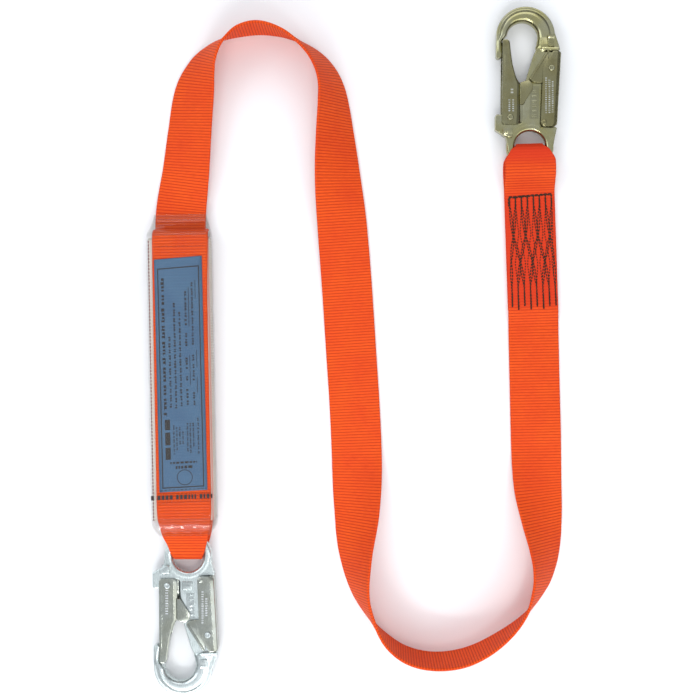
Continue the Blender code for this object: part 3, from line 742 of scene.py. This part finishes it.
def make_comb(material):
    """Lap seam: a satin bar across the top and eight rows down from it, which lean together in pairs."""
    z, count = 5.42, 8
    knots = (-26.5, -33.0, -62.0, -84.0, -106.0, -124.8)

    def leg(i, along):
        down = (along - knots[0]) / -98
        return 0.35 + 0.35 * down + (5.36 + 0.22 * down) * (i - 3.5)

    def leaning(i, j, share, along):
        return leg(i, along) * (1 - share) + leg(j, along) * share

    def bar_height(x):
        return -26.6 + 0.055 * (x + 20) + 0.25 * math.sin(x * 0.6)

    lines, faint = [], []
    for i in range(count):
        toward = 1 if i % 2 == 0 else -1
        partner, other = i + toward, min(count - 1, max(0, i - toward))
        bottom = knots[5] - (2.6 if i in (1, 3, 5) else 0)
        top = bar_height(leg(i, knots[0]))
        places = ((leg(i, knots[0]), top), (leg(i, knots[1]), knots[1]),
                  (leaning(i, partner, 0.44, knots[2]), knots[2]),
                  (leaning(i, other, 0.46, knots[3]), knots[3]),
                  (leg(i, knots[4]), knots[4]), (leg(i, bottom), bottom))
        for shift in (-0.42, 0.42):
            points = []
            for (x0, y0), (x1, y1) in zip(places, places[1:]):
                for share in (0, 0.25, 0.5, 0.75):
                    spread = 1.9 * shift * math.sin(math.pi * share) if knots[1] > y0 - 1 > knots[4] else 0
                    points.append((x0 + (x1 - x0) * share + 0.32 * shift + spread, y0 + (y1 - y0) * share, z))
            points.append((places[-1][0] + 0.32 * shift, bottom, z))
            lines.append((points, 2.5 + 0.3 * shift))
        if i not in (0, count - 1) or i % 2:
            middle = ((leaning(i, other, 0.38, knots[2]), knots[2] + 3),
                      (leaning(i, partner, 0.34, knots[3]), knots[3] - 2))
            faint.append(([(x, y, z) for x, y in (*places[:2], *middle, places[4])], 1.7))
        for shift in (-0.2, 0.25):
            for start, stop in ((top, top - 7 - 2 * (i % 3)), (-112 - 1.5 * (i % 2), bottom + 0.4)):
                row = [(leg(i, along) + shift, along, z + 0.12) for along in (start, stop)]
                lines.append((row, 2.3 + shift))
    left, right = leg(0, knots[0]), leg(count - 1, knots[0])
    for shift in (0, 0.5, -0.5):
        row = [(x, bar_height(x) + shift, z + 0.16) for x in np.linspace(left - 0.6, right + 0.5, 12)]
        lines.append((row, 3.0 + shift))
    for shift in (-0.5, 0, 0.5):
        lines.append(([(left - 0.3 + shift, -27, z + 0.16), (left - 0.4 + shift, -34 + shift, z + 0.1)], 2.6))
    seams = (("lap_stitching", lines, 0.55, 0.4), ("lap_stitching_fine", faint, 0.48, 0.8))
    for name, rows, radius, gap in seams:
        placed = [(place_flat(points, HOOK_B_BAR, LAP_TURN), size) for points, size in rows]
        dress(stitches(name, placed, radius, gap), material, "thread", "hook_b_loop_stitching")


# ---------------------------------------------------------------------------------------------------
# Absorber pack: label, sleeve and the marks on them


LABEL_CORNERS = ((-20.1, -94.8), (21.9, -93.2), (20.8, 112.5), (-21.2, 109.7))


def on_label(a, b):
    """A place on the label: a from its left to its right edge, b from its top down."""
    low_left, low_right, top_right, top_left = (np.array(corner) for corner in LABEL_CORNERS)
    return tuple((top_left * (1 - a) + top_right * a) * (1 - b) + (low_left * (1 - a) + low_right * a) * b)


def make_label(material):
    top, bottom = 24.52, 24.14
    rows, uvs = [], []
    for b in np.linspace(0, 1, 161):
        ring = []
        for z, order in ((top, 1), (bottom, -1)):
            for a in np.linspace(0, 1, 13)[::order]:
                x, y = on_label(a, b)
                lift = 0.03 * math.sin(y * 2 * math.pi / RIB_PITCH) + 0.05 * math.sin(a * 5 + b * 9)
                ring.append((x, y, z + lift))
        rows.append(pack_points(ring))
        uvs.append([(x, y) for x, y, _ in ring])
    label = grid("label_face", rows, closed=True, caps=True, uv=uvs)
    dress(label, material, "label", "label")


def label_bars():
    """Print on the label as (a0, a1, b0, b1) blocks, in rows that run along it, without letters."""
    bars = []

    def row(a, height, b0, b1, low=0.008, high=0.03, space=0.006):
        """Word-like groups of ticks, with a few of them taller."""
        tick = 0.095 * height
        place = b0
        while place < b1 - 0.004:
            end = min(place + RNG.uniform(low, high), b1)
            while place < end:
                tall = 0.5 if RNG.random() < 0.3 else 0.34
                wide = tick * RNG.uniform(1.0, 1.8)
                bars.append((a - height * tall, a + height * 0.36, place, place + wide))
                if RNG.random() < 0.55:
                    side = height * RNG.choice([-0.34, 0.22])
                    bars.append((a + side, a + side + height * 0.14, place, place + wide + 0.7 * tick))
                place += wide + 0.75 * tick
            place += space

    row(0.165, 0.078, 0.083, 0.665, 0.03, 0.06, 0.010)
    for a, b0 in ((0.285, 0.336), (0.395, 0.192), (0.505, 0.233)):
        row(a, 0.05, b0, 0.64)
    for a, height, spans in (
        (0.635, 0.056, ((0.146, 0.29), (0.325, 0.387), (0.43, 0.475), (0.51, 0.54), (0.565, 0.635))),
        (0.775, 0.05, ((0.11, 0.185), (0.195, 0.387), (0.42, 0.452), (0.46, 0.53), (0.58, 0.635))),
    ):
        for b0, b1 in spans:
            row(a, height, b0, b1)
    underlines = ((0.70, 0.13, 0.298), (0.70, 0.42, 0.547), (0.845, 0.10, 0.18), (0.845, 0.40, 0.474),
                  (0.845, 0.517, 0.583))
    bars += [(a - 0.006, a + 0.006, b0, b1) for a, b0, b1 in underlines]
    bars += [(0.145, 0.255, b0, b1) for b0, b1 in ((0.69, 0.735), (0.745, 0.80), (0.81, 0.862))]
    for a, b0, b1 in ((0.33, 0.715, 0.84), (0.39, 0.725, 0.82), (0.455, 0.725, 0.81), (0.52, 0.745, 0.80),
                      (0.615, 0.71, 0.835), (0.675, 0.71, 0.835), (0.74, 0.71, 0.82), (0.84, 0.69, 0.85)):
        row(a, 0.038, b0, b1, 0.006, 0.018, 0.005)
    for b, a0, a1, height in ((0.877, 0.24, 0.80, 0.008), (0.897, 0.35, 0.70, 0.012)):
        place = a0
        while place < a1:
            size = RNG.uniform(0.03, 0.09)
            bars.append((place, min(a1, place + size), b - height / 2, b + height / 2))
            place += size + 0.022
    left, right, top, bottom = 0.062, 0.937, 0.040, 0.9845
    bars += [(left, right, top, 0.0445), (left, right, 0.980, bottom)]
    bars += [(left, 0.084, top, 0.984), (0.915, right, top, 0.984)]
    return bars


def make_print(material):
    """Ink on the label: a frame, bars and one plain ring, a few hundredths proud."""
    outlines = []
    for a0, a1, b0, b1 in label_bars():
        outlines.append([on_label(a, b) for a, b in ((a0, b0), (a1, b0), (a1, b1), (a0, b1))])
    center, steps = on_label(0.535, 0.941), 48
    outer, inner = (arc(center, radius, 0, 360, steps) for radius in (6.9, 6.3))
    outlines += [[outer[i], outer[i + 1], inner[i + 1], inner[i]] for i in range(steps)]
    dress(prisms("label_print", [pack_points(o) for o in outlines], 24.40, 24.66), material, "thread")


def rounded_section(width, low, high, radius, along):
    """Ring round the pack: four rounded corners, with more points along the flat top and bottom."""
    half = width / 2 - radius
    ring = []
    top, bottom = high - radius, low + radius
    for side, z, start in ((1, top, 0), (-1, top, 90), (-1, bottom, 180), (1, bottom, 270)):
        ring += [(x, along, height) for x, height in arc((side * half, z), radius, start, start + 90, 7)]
        if start in (0, 180):
            x, _, height = ring[-1]
            ring += [(x - side * 2 * half * share, along, height) for share in np.linspace(0, 1, 16)[1:-1]]
    return ring


FILM = 0.45
SLEEVE = (  # place along the pack, width, lowest and highest height, corner radius
    (-134.0, 44.5, 0.8, 20.5, 4.0), (-129.5, 51.5, 0.2, 23.4, 5.0), (-124.0, 56.6, 0.0, 25.3, 5.8),
    (-117.0, 57.4, 0.0, 25.7, 5.8), (-60.0, 57.5, 0.0, 25.7, 5.8), (0.0, 57.5, 0.0, 25.7, 5.8),
    (60.0, 57.5, 0.0, 25.7, 5.8), (122.0, 57.5, 0.0, 25.7, 5.8), (129.0, 57.3, 0.1, 25.4, 5.8),
    (133.5, 56.2, 0.4, 24.4, 5.6), (138.5, 53.4, 1.0, 17.2, 5.0), (143.5, 50.2, 1.4, 11.8, 3.8),
    (151.0, 47.2, 1.4, 9.8, 3.2),
)


def make_sleeve(thin, thick):
    """Clear shrunk film: one thin sleeve, thickened and creased where it is drawn in at both ends."""
    read, _ = smooth_route([(along, 0.0, *section) for along, *section in SLEEVE], 281)
    spans = (("clear_sleeve", -118.0, 131.0, thin), ("sleeve_end_low", -135.0, -117.0, thick),
             ("sleeve_end_top", 130.0, 152.0, thick))
    for name, start, stop, material in spans:
        chosen = [row for row in read if start <= row[0] <= stop]
        shells = []
        for inset in (0.0, FILM):
            shell = []
            for along, _, width, low, high, radius in chosen:
                ring = rounded_section(width - 2 * inset, low + inset, high - inset, radius - inset, along)
                shell.append(pack_points([crease(p, along) for p in ring]))
            shells.append(shell)
        sleeve = grid(name, shells[0] + shells[1][::-1], closed=True, around=True)
        dress(sleeve, material, "clear_sleeve", "shrink_sleeve")


def swell(value, middle, reach):
    """1 at the middle, falling away smoothly on both sides."""
    return math.exp(-((value - middle) / reach) ** 2)


def crease(point, along):
    """Moves a point of the film in and out where it is drawn together."""
    x, y, z = point
    ends = swell(along, -128, 11) + swell(along, 141, 9)
    wave = math.sin(0.9 * x + 0.12 * along) * math.cos(0.33 * x - 0.35 * along)
    fold = math.sin(0.45 * along + 0.07 * x) * swell(along, -114, 13)
    loose = max(0.0, min(1.0, (x - 2) / 14)) * max(0.0, min(1.0, (-50 - along) / 20))
    ripple = (0.05 + 0.10 * loose) * math.sin(2 * math.pi * along / RIB_PITCH)
    bulge = swell(x, 12, 7) * swell(along, -114, 7) * (1.3 + 0.5 * math.sin(1.1 * along + 0.4 * x))
    lift = 0.42 * ends * wave + 0.22 * fold * (z > 12) + (ripple + bulge) * (z > 20)
    edge = math.copysign(0.25, x) * math.sin(0.21 * along) * math.sin(0.067 * along + 1)
    return x + edge * (abs(x) > 24), y, max(0.0, z + lift) if z > 4 else z


def make_film_print(material):
    """A row of plain blocks printed across the sleeve."""
    outlines, place = [], -27.5
    while place < 27:
        end = place + float(RNG.choice([1.5, 2.3, 2.5, 2.6]))
        low, high = -100.9 + 0.02 * place, -97.0 + 0.02 * place
        outlines.append(pack_points([(place, low), (end, low), (end, high), (place, high)]))
        place = end + (1.2 if RNG.random() < 0.75 else 3.0)
    dress(prisms("sleeve_print", outlines, 25.45, 25.8), material, "thread")


def make_tacks(black, brown):
    """Bar tacks: name, the CAD nodes it stands for, place along the pack, thread, ends, slope and height."""
    rows = (
        ("tack_lower", ("pack_tack_lower",), -104.0, brown, (-22, 23), 0.035, 24.25),
        ("tack_label", (), -92.6, black, (-19.5, 21), 0.035, 24.6),
        ("tack_upper", ("pack_tack_upper",), 121.0, brown, (-22, 22), 0.0, 24.25),
    )
    for name, nodes, along, material, ends, slope, height in rows:
        line = [(x, along + slope * x + 0.25 * math.sin(x * 0.4), height) for x in np.linspace(*ends, 16)]
        dress(stitches(name, [(pack_points(line), 2.4)], 0.3, 1.2), material, "thread", *nodes)


# ---------------------------------------------------------------------------------------------------
# Snap hook, drawn with its eye centred on (0, 0)


def bow_span(angle):
    """Inner and outer edge of the bow in this direction from the centre of its inside."""
    (cx, cy), inner = BOW_INNER
    (ox, oy), outer = BOW_OUTER
    dx, dy = math.cos(math.radians(angle)), math.sin(math.radians(angle))
    ax, ay = cx - ox, cy - oy
    along = ax * dx + ay * dy
    reach = -along + math.sqrt(along * along - ax * ax - ay * ay + outer * outer)
    return (cx + inner * dx, cy + inner * dy), (cx + reach * dx, cy + reach * dy)


def plate_outline():
    """Edge of the plate: eye end, spine, bow, mouth, gate side and gate stop."""
    (inner_center, inner_radius), (outer_center, outer_radius) = BOW_INNER, BOW_OUTER
    outline = arc((0, 0), 19.9, 180, 352, 40)
    outline += [(20.9, 2.0), (21.5, 6.0), (23.8, 16.2), (22.8, 17.0), (14.6, 17.9), (12.6, 20.0)]
    outline += [(19.3, 49.0), (24.0, 70.0), (24.9, 84.3), (26.4, 85.4), (26.2, 88.0)]
    outline += arc(outer_center, outer_radius, 6, 178, 60)
    outline += [(-30.3, 92.0), *arc((-27.75, 80.6), 2.55, 180, 360, 12), (-25.2, 95.4)]
    outline += arc(inner_center, inner_radius + 2.8, 184, 0, 40)
    outline += [(8.2, 90.0), (5.6, 86.0), (2.8, 81.0), (-3.6, 59.6)]
    outline += arc(GATE_PIVOT, 34.4, 64, 54, 4)
    outline += [(1.4, 51.5), (-1.5, 49.4), (-4.5, 44.0), (-6.4, 36.0), (-6.9, 29.0), (-6.9, 22.6)]
    outline += [(-8.3, 20.2), (-12.2, 20.2), *arc(GATE_PIVOT, 5.9, 0, 150, 16)]
    return outline + [(-26.0, 28.2), (-29.8, 28.2), (-31.2, 26.8), (-31.2, 14.6), (-22.0, 8.6)]


def oval(center, across, half_width, half_height, squareness):
    """Section of a forged bar, upright on the line across."""
    ring = []
    for i in range(20):
        angle = 2 * math.pi * (i + 0.5) / 20
        side, up = (math.copysign(abs(x) ** (2 / squareness), x) for x in (math.cos(angle), math.sin(angle)))
        side *= half_width
        ring.append((center[0] + across[0] * side, center[1] + across[1] * side, up * half_height))
    return ring


def bow_solid():
    """Bow from its nose round to the mouth's ledge. Spans: inner edge, outer edge and half height."""
    spans = [((-25.5, 79.2), (-29.8, 79.2), 2.9), ((-25.3, 80.6), (-30.1, 80.6), 4.0),
             ((-25.3, 84.0), (-30.2, 84.0), 4.6), ((-25.3, 93.0), (-30.0, 93.0), 4.9)]
    for angle in range(172, -1, -4):
        spans.append((*bow_span(angle), 5.2 + 0.9 * math.sin(math.radians(min(angle, 90)))))
    spans += [((5.6, 90.0), (24.8, 90.2), 5.9), ((4.8, 88.2), (25.4, 88.0), 5.9),
              ((5.0, 86.6), (25.3, 86.4), 5.6), ((6.4, 85.4), (24.6, 85.4), 4.6),
              ((8.4, 84.8), (23.0, 84.9), 3.4)]
    rings = []
    for inside, outside, rise in spans:
        inside, outside = Vector(inside), Vector(outside)
        across = (outside - inside).normalized()
        width = (outside - inside).length
        half = (width - (BOW_RIM if width > 6 else 0.1)) / 2
        rings.append(oval(inside + across * half, across, half, rise, 2.4))
    return grid("bow", rings, closed=True, caps=True)


def ring_solid():
    rings = []
    for across in circle(72):
        center = (EYE_BAR * across[0], EYE_BAR * across[1])
        rings.append(oval(center, across, RING_HALF, PLATE_HALF + 0.2, 2.5))
    return grid("ring", rings, closed=True, around=True)


def slab(u0, v0, u1, v1, low, high, turn=0.0):
    """Block turned about its own middle."""
    half_u, half_v = (u1 - u0) / 2, (v1 - v0) / 2
    corners = [(-half_u, -half_v), (half_u, -half_v), (half_u, half_v), (-half_u, half_v)]
    return prism("slab", place_flat(corners, ((u0 + u1) / 2, (v0 + v1) / 2), turn), low, high)


def wedge(u0, u1, v0, v1, low, high, under):
    """Block whose face climbs along v from low to high."""
    side = [(v0, under), (v1, under), (v1, high), (v0, low)]
    rows = [[(u, v, w) for v, w in side] for u in (u0, u1)]
    return grid("wedge", rows, closed=True, caps=True)


def dome(center, radius, height, level):
    """Low round boss, on the back where height and level are negative."""
    sections = [(0, -math.copysign(0.6, level))]
    sections += [(angle, height * math.sin(angle)) for angle in np.linspace(0, math.pi / 2, 9)]
    rows = []
    for angle, lift in sections:
        r = radius * math.cos(angle) + 0.01
        rows.append([(center[0] + r * c, center[1] + r * s, level + lift) for c, s in circle(32)])
    return grid("dome", rows, closed=True, caps=True)


def on_side(side, near, far):
    """Lower and upper level of a piece on the front (1) or back (-1), from its levels off the middle."""
    return sorted((side * near, side * far))


def body_mesh():
    """Forging: plate, bow, eye ring and the ledge at the mouth, merged and softened."""
    plate = prism("plate", plate_outline(), -PLATE_HALF, PLATE_HALF)
    hole = prism("hole", arc((0, 0), EYE_RADIUS + 2.0, 0, 360, 64)[:-1], -9, 9)
    ledge = [(9.0, 86.8), (25.8, 86.8), (25.8, 84.6), (20.0, 84.2), (12.5, 85.0)]
    solids = [boolean(plate, hole, "DIFFERENCE"), bow_solid(), ring_solid(), prism("ledge", ledge, -6.4, 6.4)]
    body = join("forging", solids)
    remesh = body.modifiers.new("merge", "REMESH")
    remesh.mode = "VOXEL"
    remesh.voxel_size = 0.42 * MM
    soften = body.modifiers.new("soften", "SMOOTH")
    soften.factor = 0.5
    soften.iterations = 9
    mesh = taken_mesh(apply_modifiers(body))
    mesh.shade_smooth()
    return mesh


def relief_mesh():
    """Crisp raised shapes of the forging: gate stop, bosses, wedges, lip and the marks on the spine."""
    stop = [(-24.8, 15.4), (-16.0, 15.4), (-16.0, 8.0), (-19.0, 7.2), (-24.8, 10.6)]
    parts = [bevelled(prism("stop", stop, -6.6, 6.6), 0.9, 3)]
    for boss in ((15.2, 88.2, 20.8, 97.8, 3, 7.3, 0.06), (10.8, 90.8, 17.6, 98.9, -7.3, -3, -0.05),
                 (-5.2, 22.0, 4.2, 29.6, -4.8, -3.2)):
        parts.append(bevelled(slab(*boss), 0.5, 3))
    for rise in ((15.0, 20.9, 94.4, 97.9, 7.1, 8.6, 3), (-24.4, -16.2, 8.6, 15.3, 6.1, 8.2, 3),
                 (9.6, 24.0, 83.2, 87.2, 3.9, 6.7, 2)):
        parts.append(bevelled(wedge(*rise), 0.4, 3))
    lip = [(-9.0, 21.0), (-5.6, 21.0), (-5.0, 29.6), (-3.4, 44.0), (-6.2, 43.0), (-9.0, 37.0)]
    parts.append(bevelled(prism("lip", lip, 2.2, 3.9), 0.3, 2))
    parts += marks([(18.0, 90.0, 97.0, 3.4, 3.0)], 7.3, 1) + marks([(14.2, 92.6, 98.0, 4.6, 2.7)], 7.3, -1)
    parts += marks([(-0.6, 23.0, 28.8, 6.5, 2.5)], 4.8, -1, 0.25)
    parts += [slab(-0.3, 24.4, 7.6, 53.4, 3.7, 4.25, -0.03), slab(-1.2, 32.4, 5.8, 54.6, -4.25, -3.7, -0.03)]
    bars = marks([(3.5, 25.6, 53, 5.0, 4.3)], 4.25, 1, 0.55)
    bars += marks([(2.9, 33.4, 54, 4.2, 4.2)], 4.25, -1, 0.55)
    parts.append(bevelled(join("bars", bars), 0.25, 2))
    return taken_mesh(join("relief", parts))


# Blocks of one mark, in shares of its width and length: left, right, start and stop
MARKS = (
    ((-0.5, 0.5, 0, 0.4), (-0.5, 0.5, 0.7, 1)),
    ((-0.5, -0.1, 0, 1), (0.15, 0.5, 0, 1)),
    ((-0.5, 0.5, 0, 1),),
)


def marks(rows, level, side, depth=0.3):
    """Plain raised blocks in rows. Each row is u, from v, to v, width and pitch."""
    made = []
    low, high = on_side(side, level - 0.3, level + depth)
    for u, v, end, width, pitch in rows:
        while v + pitch * 0.5 < end:
            kind = min(RNG.integers(0, 4), 2)
            size = pitch * (0.42 + 0.2 * RNG.random())
            for left, right, start, stop in MARKS[kind]:
                u0, u1, v0, v1 = u + left * width, u + right * width, v + start * size, v + stop * size
                made.append(slab(u0, v0, u1, v1, low, high))
            v += pitch
    return made


# Pressed corner in shares of its radius: back from the web and down from the cheek, with a flat band between
CORNER = ((1, 0), (0.95, 0.006), (0.91, 0.026), (0.86, 0.054), (0.58, 0.21), (0.30, 0.366), (0.25, 0.396),
          (0.17, 0.46), (0.09, 0.56), (0.03, 0.72), (0, 0.95))


def shell(name, stations, half_height):
    """Closed skin round a pressed piece along v. Each station is v, free edge, web edge and corner radius."""
    rows = []
    for v, free, web, radius in stations:
        toward = 1 if web > free else -1
        upper = [(free, half_height), (free + (web - free) * 0.3, half_height)]
        for back, down in CORNER:
            upper.append((web - toward * radius * back, half_height - radius * down))
        rows.append([(u, v, w) for u, w in upper + [(u, -w) for u, w in reversed(upper)]])
    return grid(name, rows, closed=True, caps=True)


def hollowed(name, stations, top, inside):
    """The skin with its inside taken out, which leaves two cheeks and the web that joins them."""
    inner = []
    for v, free, web, radius in stations:
        toward = 1 if web > free else -1
        inner.append([v, free - toward * 3, web - toward * WEB, max(0.3, radius - WEB)])
    inner[0][0] -= 3
    inner[-1][0] += 3
    return boolean(shell(name, stations, top), shell("inner", inner, inside), "DIFFERENCE")


def gate_mesh():
    """Gate sheet and its stamps. The web is open below the nose, and a wing on each cheek meets the claw."""
    top = GATE_INSIDE + SHEET
    stations = ((19.3, -23.6, -11.4, 2.2), (19.7, -24.3, -9.9, 3.6), (21.0, -25.3, -8.5, 4.6),
                (23.0, -25.3, -7.9, 5.0), (31.5, -25.25, -7.5, 5.0), (45.0, -25.2, -7.5, 5.0),
                (54.0, -25.15, -7.5, 4.6), (56.0, -25.1, -8.8, 3.6), (58.7, -25.1, -11.7, 1.7),
                (62.5, -25.05, -13.3, 1.1), (67.1, -25.0, -14.6, 1.0), (72.0, -24.95, -15.8, 1.0),
                (78.3, -24.9, -16.8, 1.0), (85.0, -24.85, -17.6, 1.0), (91.0, -24.8, -18.2, 1.0),
                (93.2, -24.8, -18.8, 1.0), (94.2, -24.0, -20.4, 0.9))
    opening = prism("opening", [(-30, 17.0), (0, 17.0), (0, 69.6), (-30, 69.6)], -GATE_INSIDE, GATE_INSIDE)
    gate = boolean(hollowed("gate", stations, top, GATE_INSIDE), opening, "DIFFERENCE")
    parts = [bevelled(gate, 0.3)]
    wing = [(-9.3, 37.0), (-6.2, 37.4), (2.0, 50.1), (2.0, 54.9), (-1.7, 58.7), (-9.0, 56.2), (-9.3, 54.9)]
    root = [(-9.4, 37.6), (-7.6, 37.6), (-7.6, 55.2), (-9.4, 54.8)]
    for side in (-1, 1):
        parts.append(bevelled(prism("wing", wing, *on_side(side, 4.95, top - 0.1)), 0.4, 3))
        parts.append(prism("root", root, *on_side(side, GATE_INSIDE + 0.05, 5.2)))
        hem = slab(-23.0, 33.3, -22.5, 80.5, *on_side(side, top - 0.3, top + 0.22), 0.004)
        parts.append(bevelled(hem, 0.15, 2))
    rows = [(-18.9, 30.5, 41.5, 1.5, 1.9), (-15.6, 30.5, 41.5, 1.5, 1.9), (-16.6, 46.5, 52.4, 2.3, 2.6)]
    stamps = marks(rows, top, 1, 0.2) + marks([(-18.3, 29, 52, 2.3, 2.3)], top, -1, 0.2)
    return taken_mesh(join("gate", parts)), taken_mesh(join("gate_stamps", stamps))


def lever_mesh():
    """Lever sheet and its stamps, with a claw, a folded edge and a low boss on each side."""
    top = LEVER_INSIDE + SHEET
    stations = ((17.0, 12.4, 20.4, 2.2), (17.5, 10.6, 22.0, 3.6), (19.0, 9.2, 23.4, 3.8),
                (21.0, 8.8, 23.8, 3.7), (33.0, 9.3, 24.4, 3.7), (45.0, 9.8, 25.1, 3.7),
                (58.0, 10.3, 25.8, 3.7), (66.0, 10.6, 26.3, 3.7), (68.0, 10.8, 26.4, 3.7),
                (70.0, 11.5, 26.5, 3.7), (74.0, 13.8, 26.7, 3.7), (78.0, 16.2, 26.95, 3.7),
                (81.8, 18.4, 27.2, 3.6), (83.0, 19.2, 26.6, 3.0), (83.6, 19.8, 25.6, 2.4))
    parts = [bevelled(hollowed("lever", stations, top, LEVER_INSIDE), 0.3)]
    claw = [(15.6, 82.4), (13.2, 81.4), (-0.3, 60.0), (-0.8, 58.7), (0.3, 57.7), (2.1, 56.2), (6.5, 55.6),
            (15.4, 56.0), (15.6, 68.0)]
    fold = [(15.6, 83.2), (13.0, 82.2), (-0.9, 60.2), (-0.9, 58.9), (0.6, 58.8), (14.6, 80.4)]
    for side in (-1, 1):
        parts.append(bevelled(prism("claw", claw, *on_side(side, GATE_INSIDE, LEVER_INSIDE + 0.5)), 0.5, 3))
        levels = on_side(side, LEVER_INSIDE - 0.6, LEVER_INSIDE + 1.1)
        parts.append(bevelled(prism("fold", fold, *levels), 0.6, 3))
        parts.append(dome((11.6, 20.6), 2.4, side * 0.7, side * top))
    rows = [(13.2, 28.5, 60, 1.5, 1.9), (16.2, 28.5, 58, 1.6, 1.9), (19.0, 29, 58, 1.5, 1.9)]
    stamps = marks(rows, top, 1, 0.2)
    stamps += marks([(13.6, 30, 59, 1.7, 2.1), (17.0, 36, 53, 1.7, 2.1)], top, -1, 0.2)
    return taken_mesh(join("lever", parts)), taken_mesh(join("lever_stamps", stamps))


def rivet_mesh(inside):
    """Shaft with a dimpled, peened head on each side."""
    head = ((RIVET_RADIUS, 0), (2.75, 0), (2.85, 0.25), (2.6, 0.75), (2.1, 1.0), (1.6, 1.0), (1.3, 0.8),
            (1.15, 0.45), (0.5, 0.4), (0.02, 0.4))
    half = [(r, inside + SHEET - 0.05 + rise) for r, rise in head]
    profile = [(r, -h) for r, h in reversed(half)] + half
    rows = [[(r * c, r * s, h) for c, s in circle(32)] for r, h in profile]
    mesh = taken_mesh(grid("rivet", rows, closed=True, caps=True))
    mesh.set_sharp_from_angle(angle=math.radians(60))
    return mesh


def spring_mesh(turns, pitch, start, radius, wire, leg, first_angle):
    """Coil of wire round a rivet, whose one end runs out to leg."""
    steps = 24
    line = [Vector((*leg, start))]
    for i in range(int(turns * steps) + 1):
        angle = math.radians(first_angle) + 2 * math.pi * i / steps
        line.append(Vector((radius * math.cos(angle), radius * math.sin(angle), start + pitch * i / steps)))
    rows = []
    for i, point in enumerate(line):
        ahead = (line[min(i + 1, len(line) - 1)] - line[max(i - 1, 0)]).normalized()
        side = ahead.cross(UP).normalized()
        up = side.cross(ahead)
        rows.append([tuple(point + side * (wire * c) + up * (wire * s)) for c, s in circle(8)])
    return taken_mesh(grid("spring", rows, closed=True, caps=True))


def hook_meshes():
    meshes = {"forging": body_mesh(), "relief": relief_mesh()}
    meshes["gate_sheet"], meshes["gate_stamps"] = gate_mesh()
    meshes["lever_sheet"], meshes["lever_stamps"] = lever_mesh()
    meshes["gate_pin"], meshes["lock_pin"] = rivet_mesh(GATE_INSIDE), rivet_mesh(LEVER_INSIDE)
    meshes["gate_coil"] = spring_mesh(2.3, 1.1, 1.4, 3.9, 0.5, (5.5, 18.0), -35)
    meshes["lock_coil"] = spring_mesh(1.2, 0.9, 4.8, 3.3, 0.4, (5.0, -14.0), -30)
    return meshes


def make_hook(hook, eye, meshes, metals, plating):
    """A whole hook. Pieces: name, place, material, slot, body and CAD node."""
    pivots = (Vector((*pivot, 0)) * MM for pivot in (GATE_PIVOT, LOCK_PIVOT))
    at_gate, at_lock = (eye @ Matrix.Translation(pivot) for pivot in pivots)
    zinc = "zinc_" + plating
    # The stamps get a pale bluish metal, a painted highlight on their raised faces.
    sheet, stamp_glint = zinc + "_sheet", "worn_" + plating
    for piece, place, metal, slot, body, node in (
        ("forging", eye, zinc, zinc, "", "_body"),
        ("gate_sheet", eye, sheet, sheet, "_gate", "_gate"),
        ("lever_sheet", eye, sheet, sheet, "_lock", "_lock_lever"),
        ("gate_pin", at_gate, zinc, "rivet_steel", "", "_gate_rivet"),
        ("lock_pin", at_lock, zinc, "rivet_steel", "", "_lock_rivet"),
        ("gate_coil", at_gate, "spring_steel", "spring_steel", "_gate", "_gate_spring"),
        ("lock_coil", at_lock, "spring_steel", "spring_steel", "_lock", "_lock_spring"),
        ("relief", eye, zinc, zinc, "", "_body"),
        ("gate_stamps", eye, stamp_glint, sheet, "_gate", "_gate"),
        ("lever_stamps", eye, stamp_glint, sheet, "_lock", "_lock_lever"),
    ):
        obj = bpy.data.objects.new(hook + "_" + piece, meshes[piece].copy())
        bpy.context.scene.collection.objects.link(obj)
        obj.matrix_world = place
        obj.data.materials.clear()
        dress(obj, metals[metal], slot, hook + node, body=hook + body)


def make_hooks():
    """The far hook, and the near one turned over."""
    meshes = hook_meshes()
    metals = {name: metal_material(name, *look) for name, *look in METALS}
    at_b = Matrix.Translation(Vector((HOOK_B_BAR[0], HOOK_B_BAR[1] + EYE_BAR, HOOK_MIDDLE)) * MM)
    at_a = Matrix.Translation(Vector((HOOK_A_BAR[0], HOOK_A_BAR[1] - EYE_BAR, HOOK_MIDDLE)) * MM)
    make_hook("hook_b", at_b, meshes, metals, "yellow")
    make_hook("hook_a", at_a @ Matrix.Rotation(math.pi, 4, "X"), meshes, metals, "clear")


def main():
    make_camera()
    # Orange webbing: its colour, a darker colour for painted shade in rib troughs and for streaks, and its
    # red.
    shades = ((0.86, 0.098, 0.010), (0.44, 0.024, 0.004), (0.64, 0.036, 0.010))
    orange = webbing_material("orange_webbing", *shades)
    black = thread_material("thread_black", (0.026, 0.013, 0.007))
    brown = thread_material("thread_brown", (0.30, 0.05, 0.02))
    make_strap(orange)
    make_studio()
    make_far_loop(orange)
    make_comb(black)
    make_pack_webbing(orange)
    make_core(tear_material())
    make_label(label_material())
    make_print(plain("ink", (0.016, 0.022, 0.026), 0.5))
    make_tacks(black, brown)
    make_sleeve(film_material("clear_sleeve", 0.045, 1.2), film_material("clear_sleeve_end", 0.10, 2.0))
    make_film_print(plain("film_ink", (0.03, 0.02, 0.02), 0.35))
    make_hooks()


main()
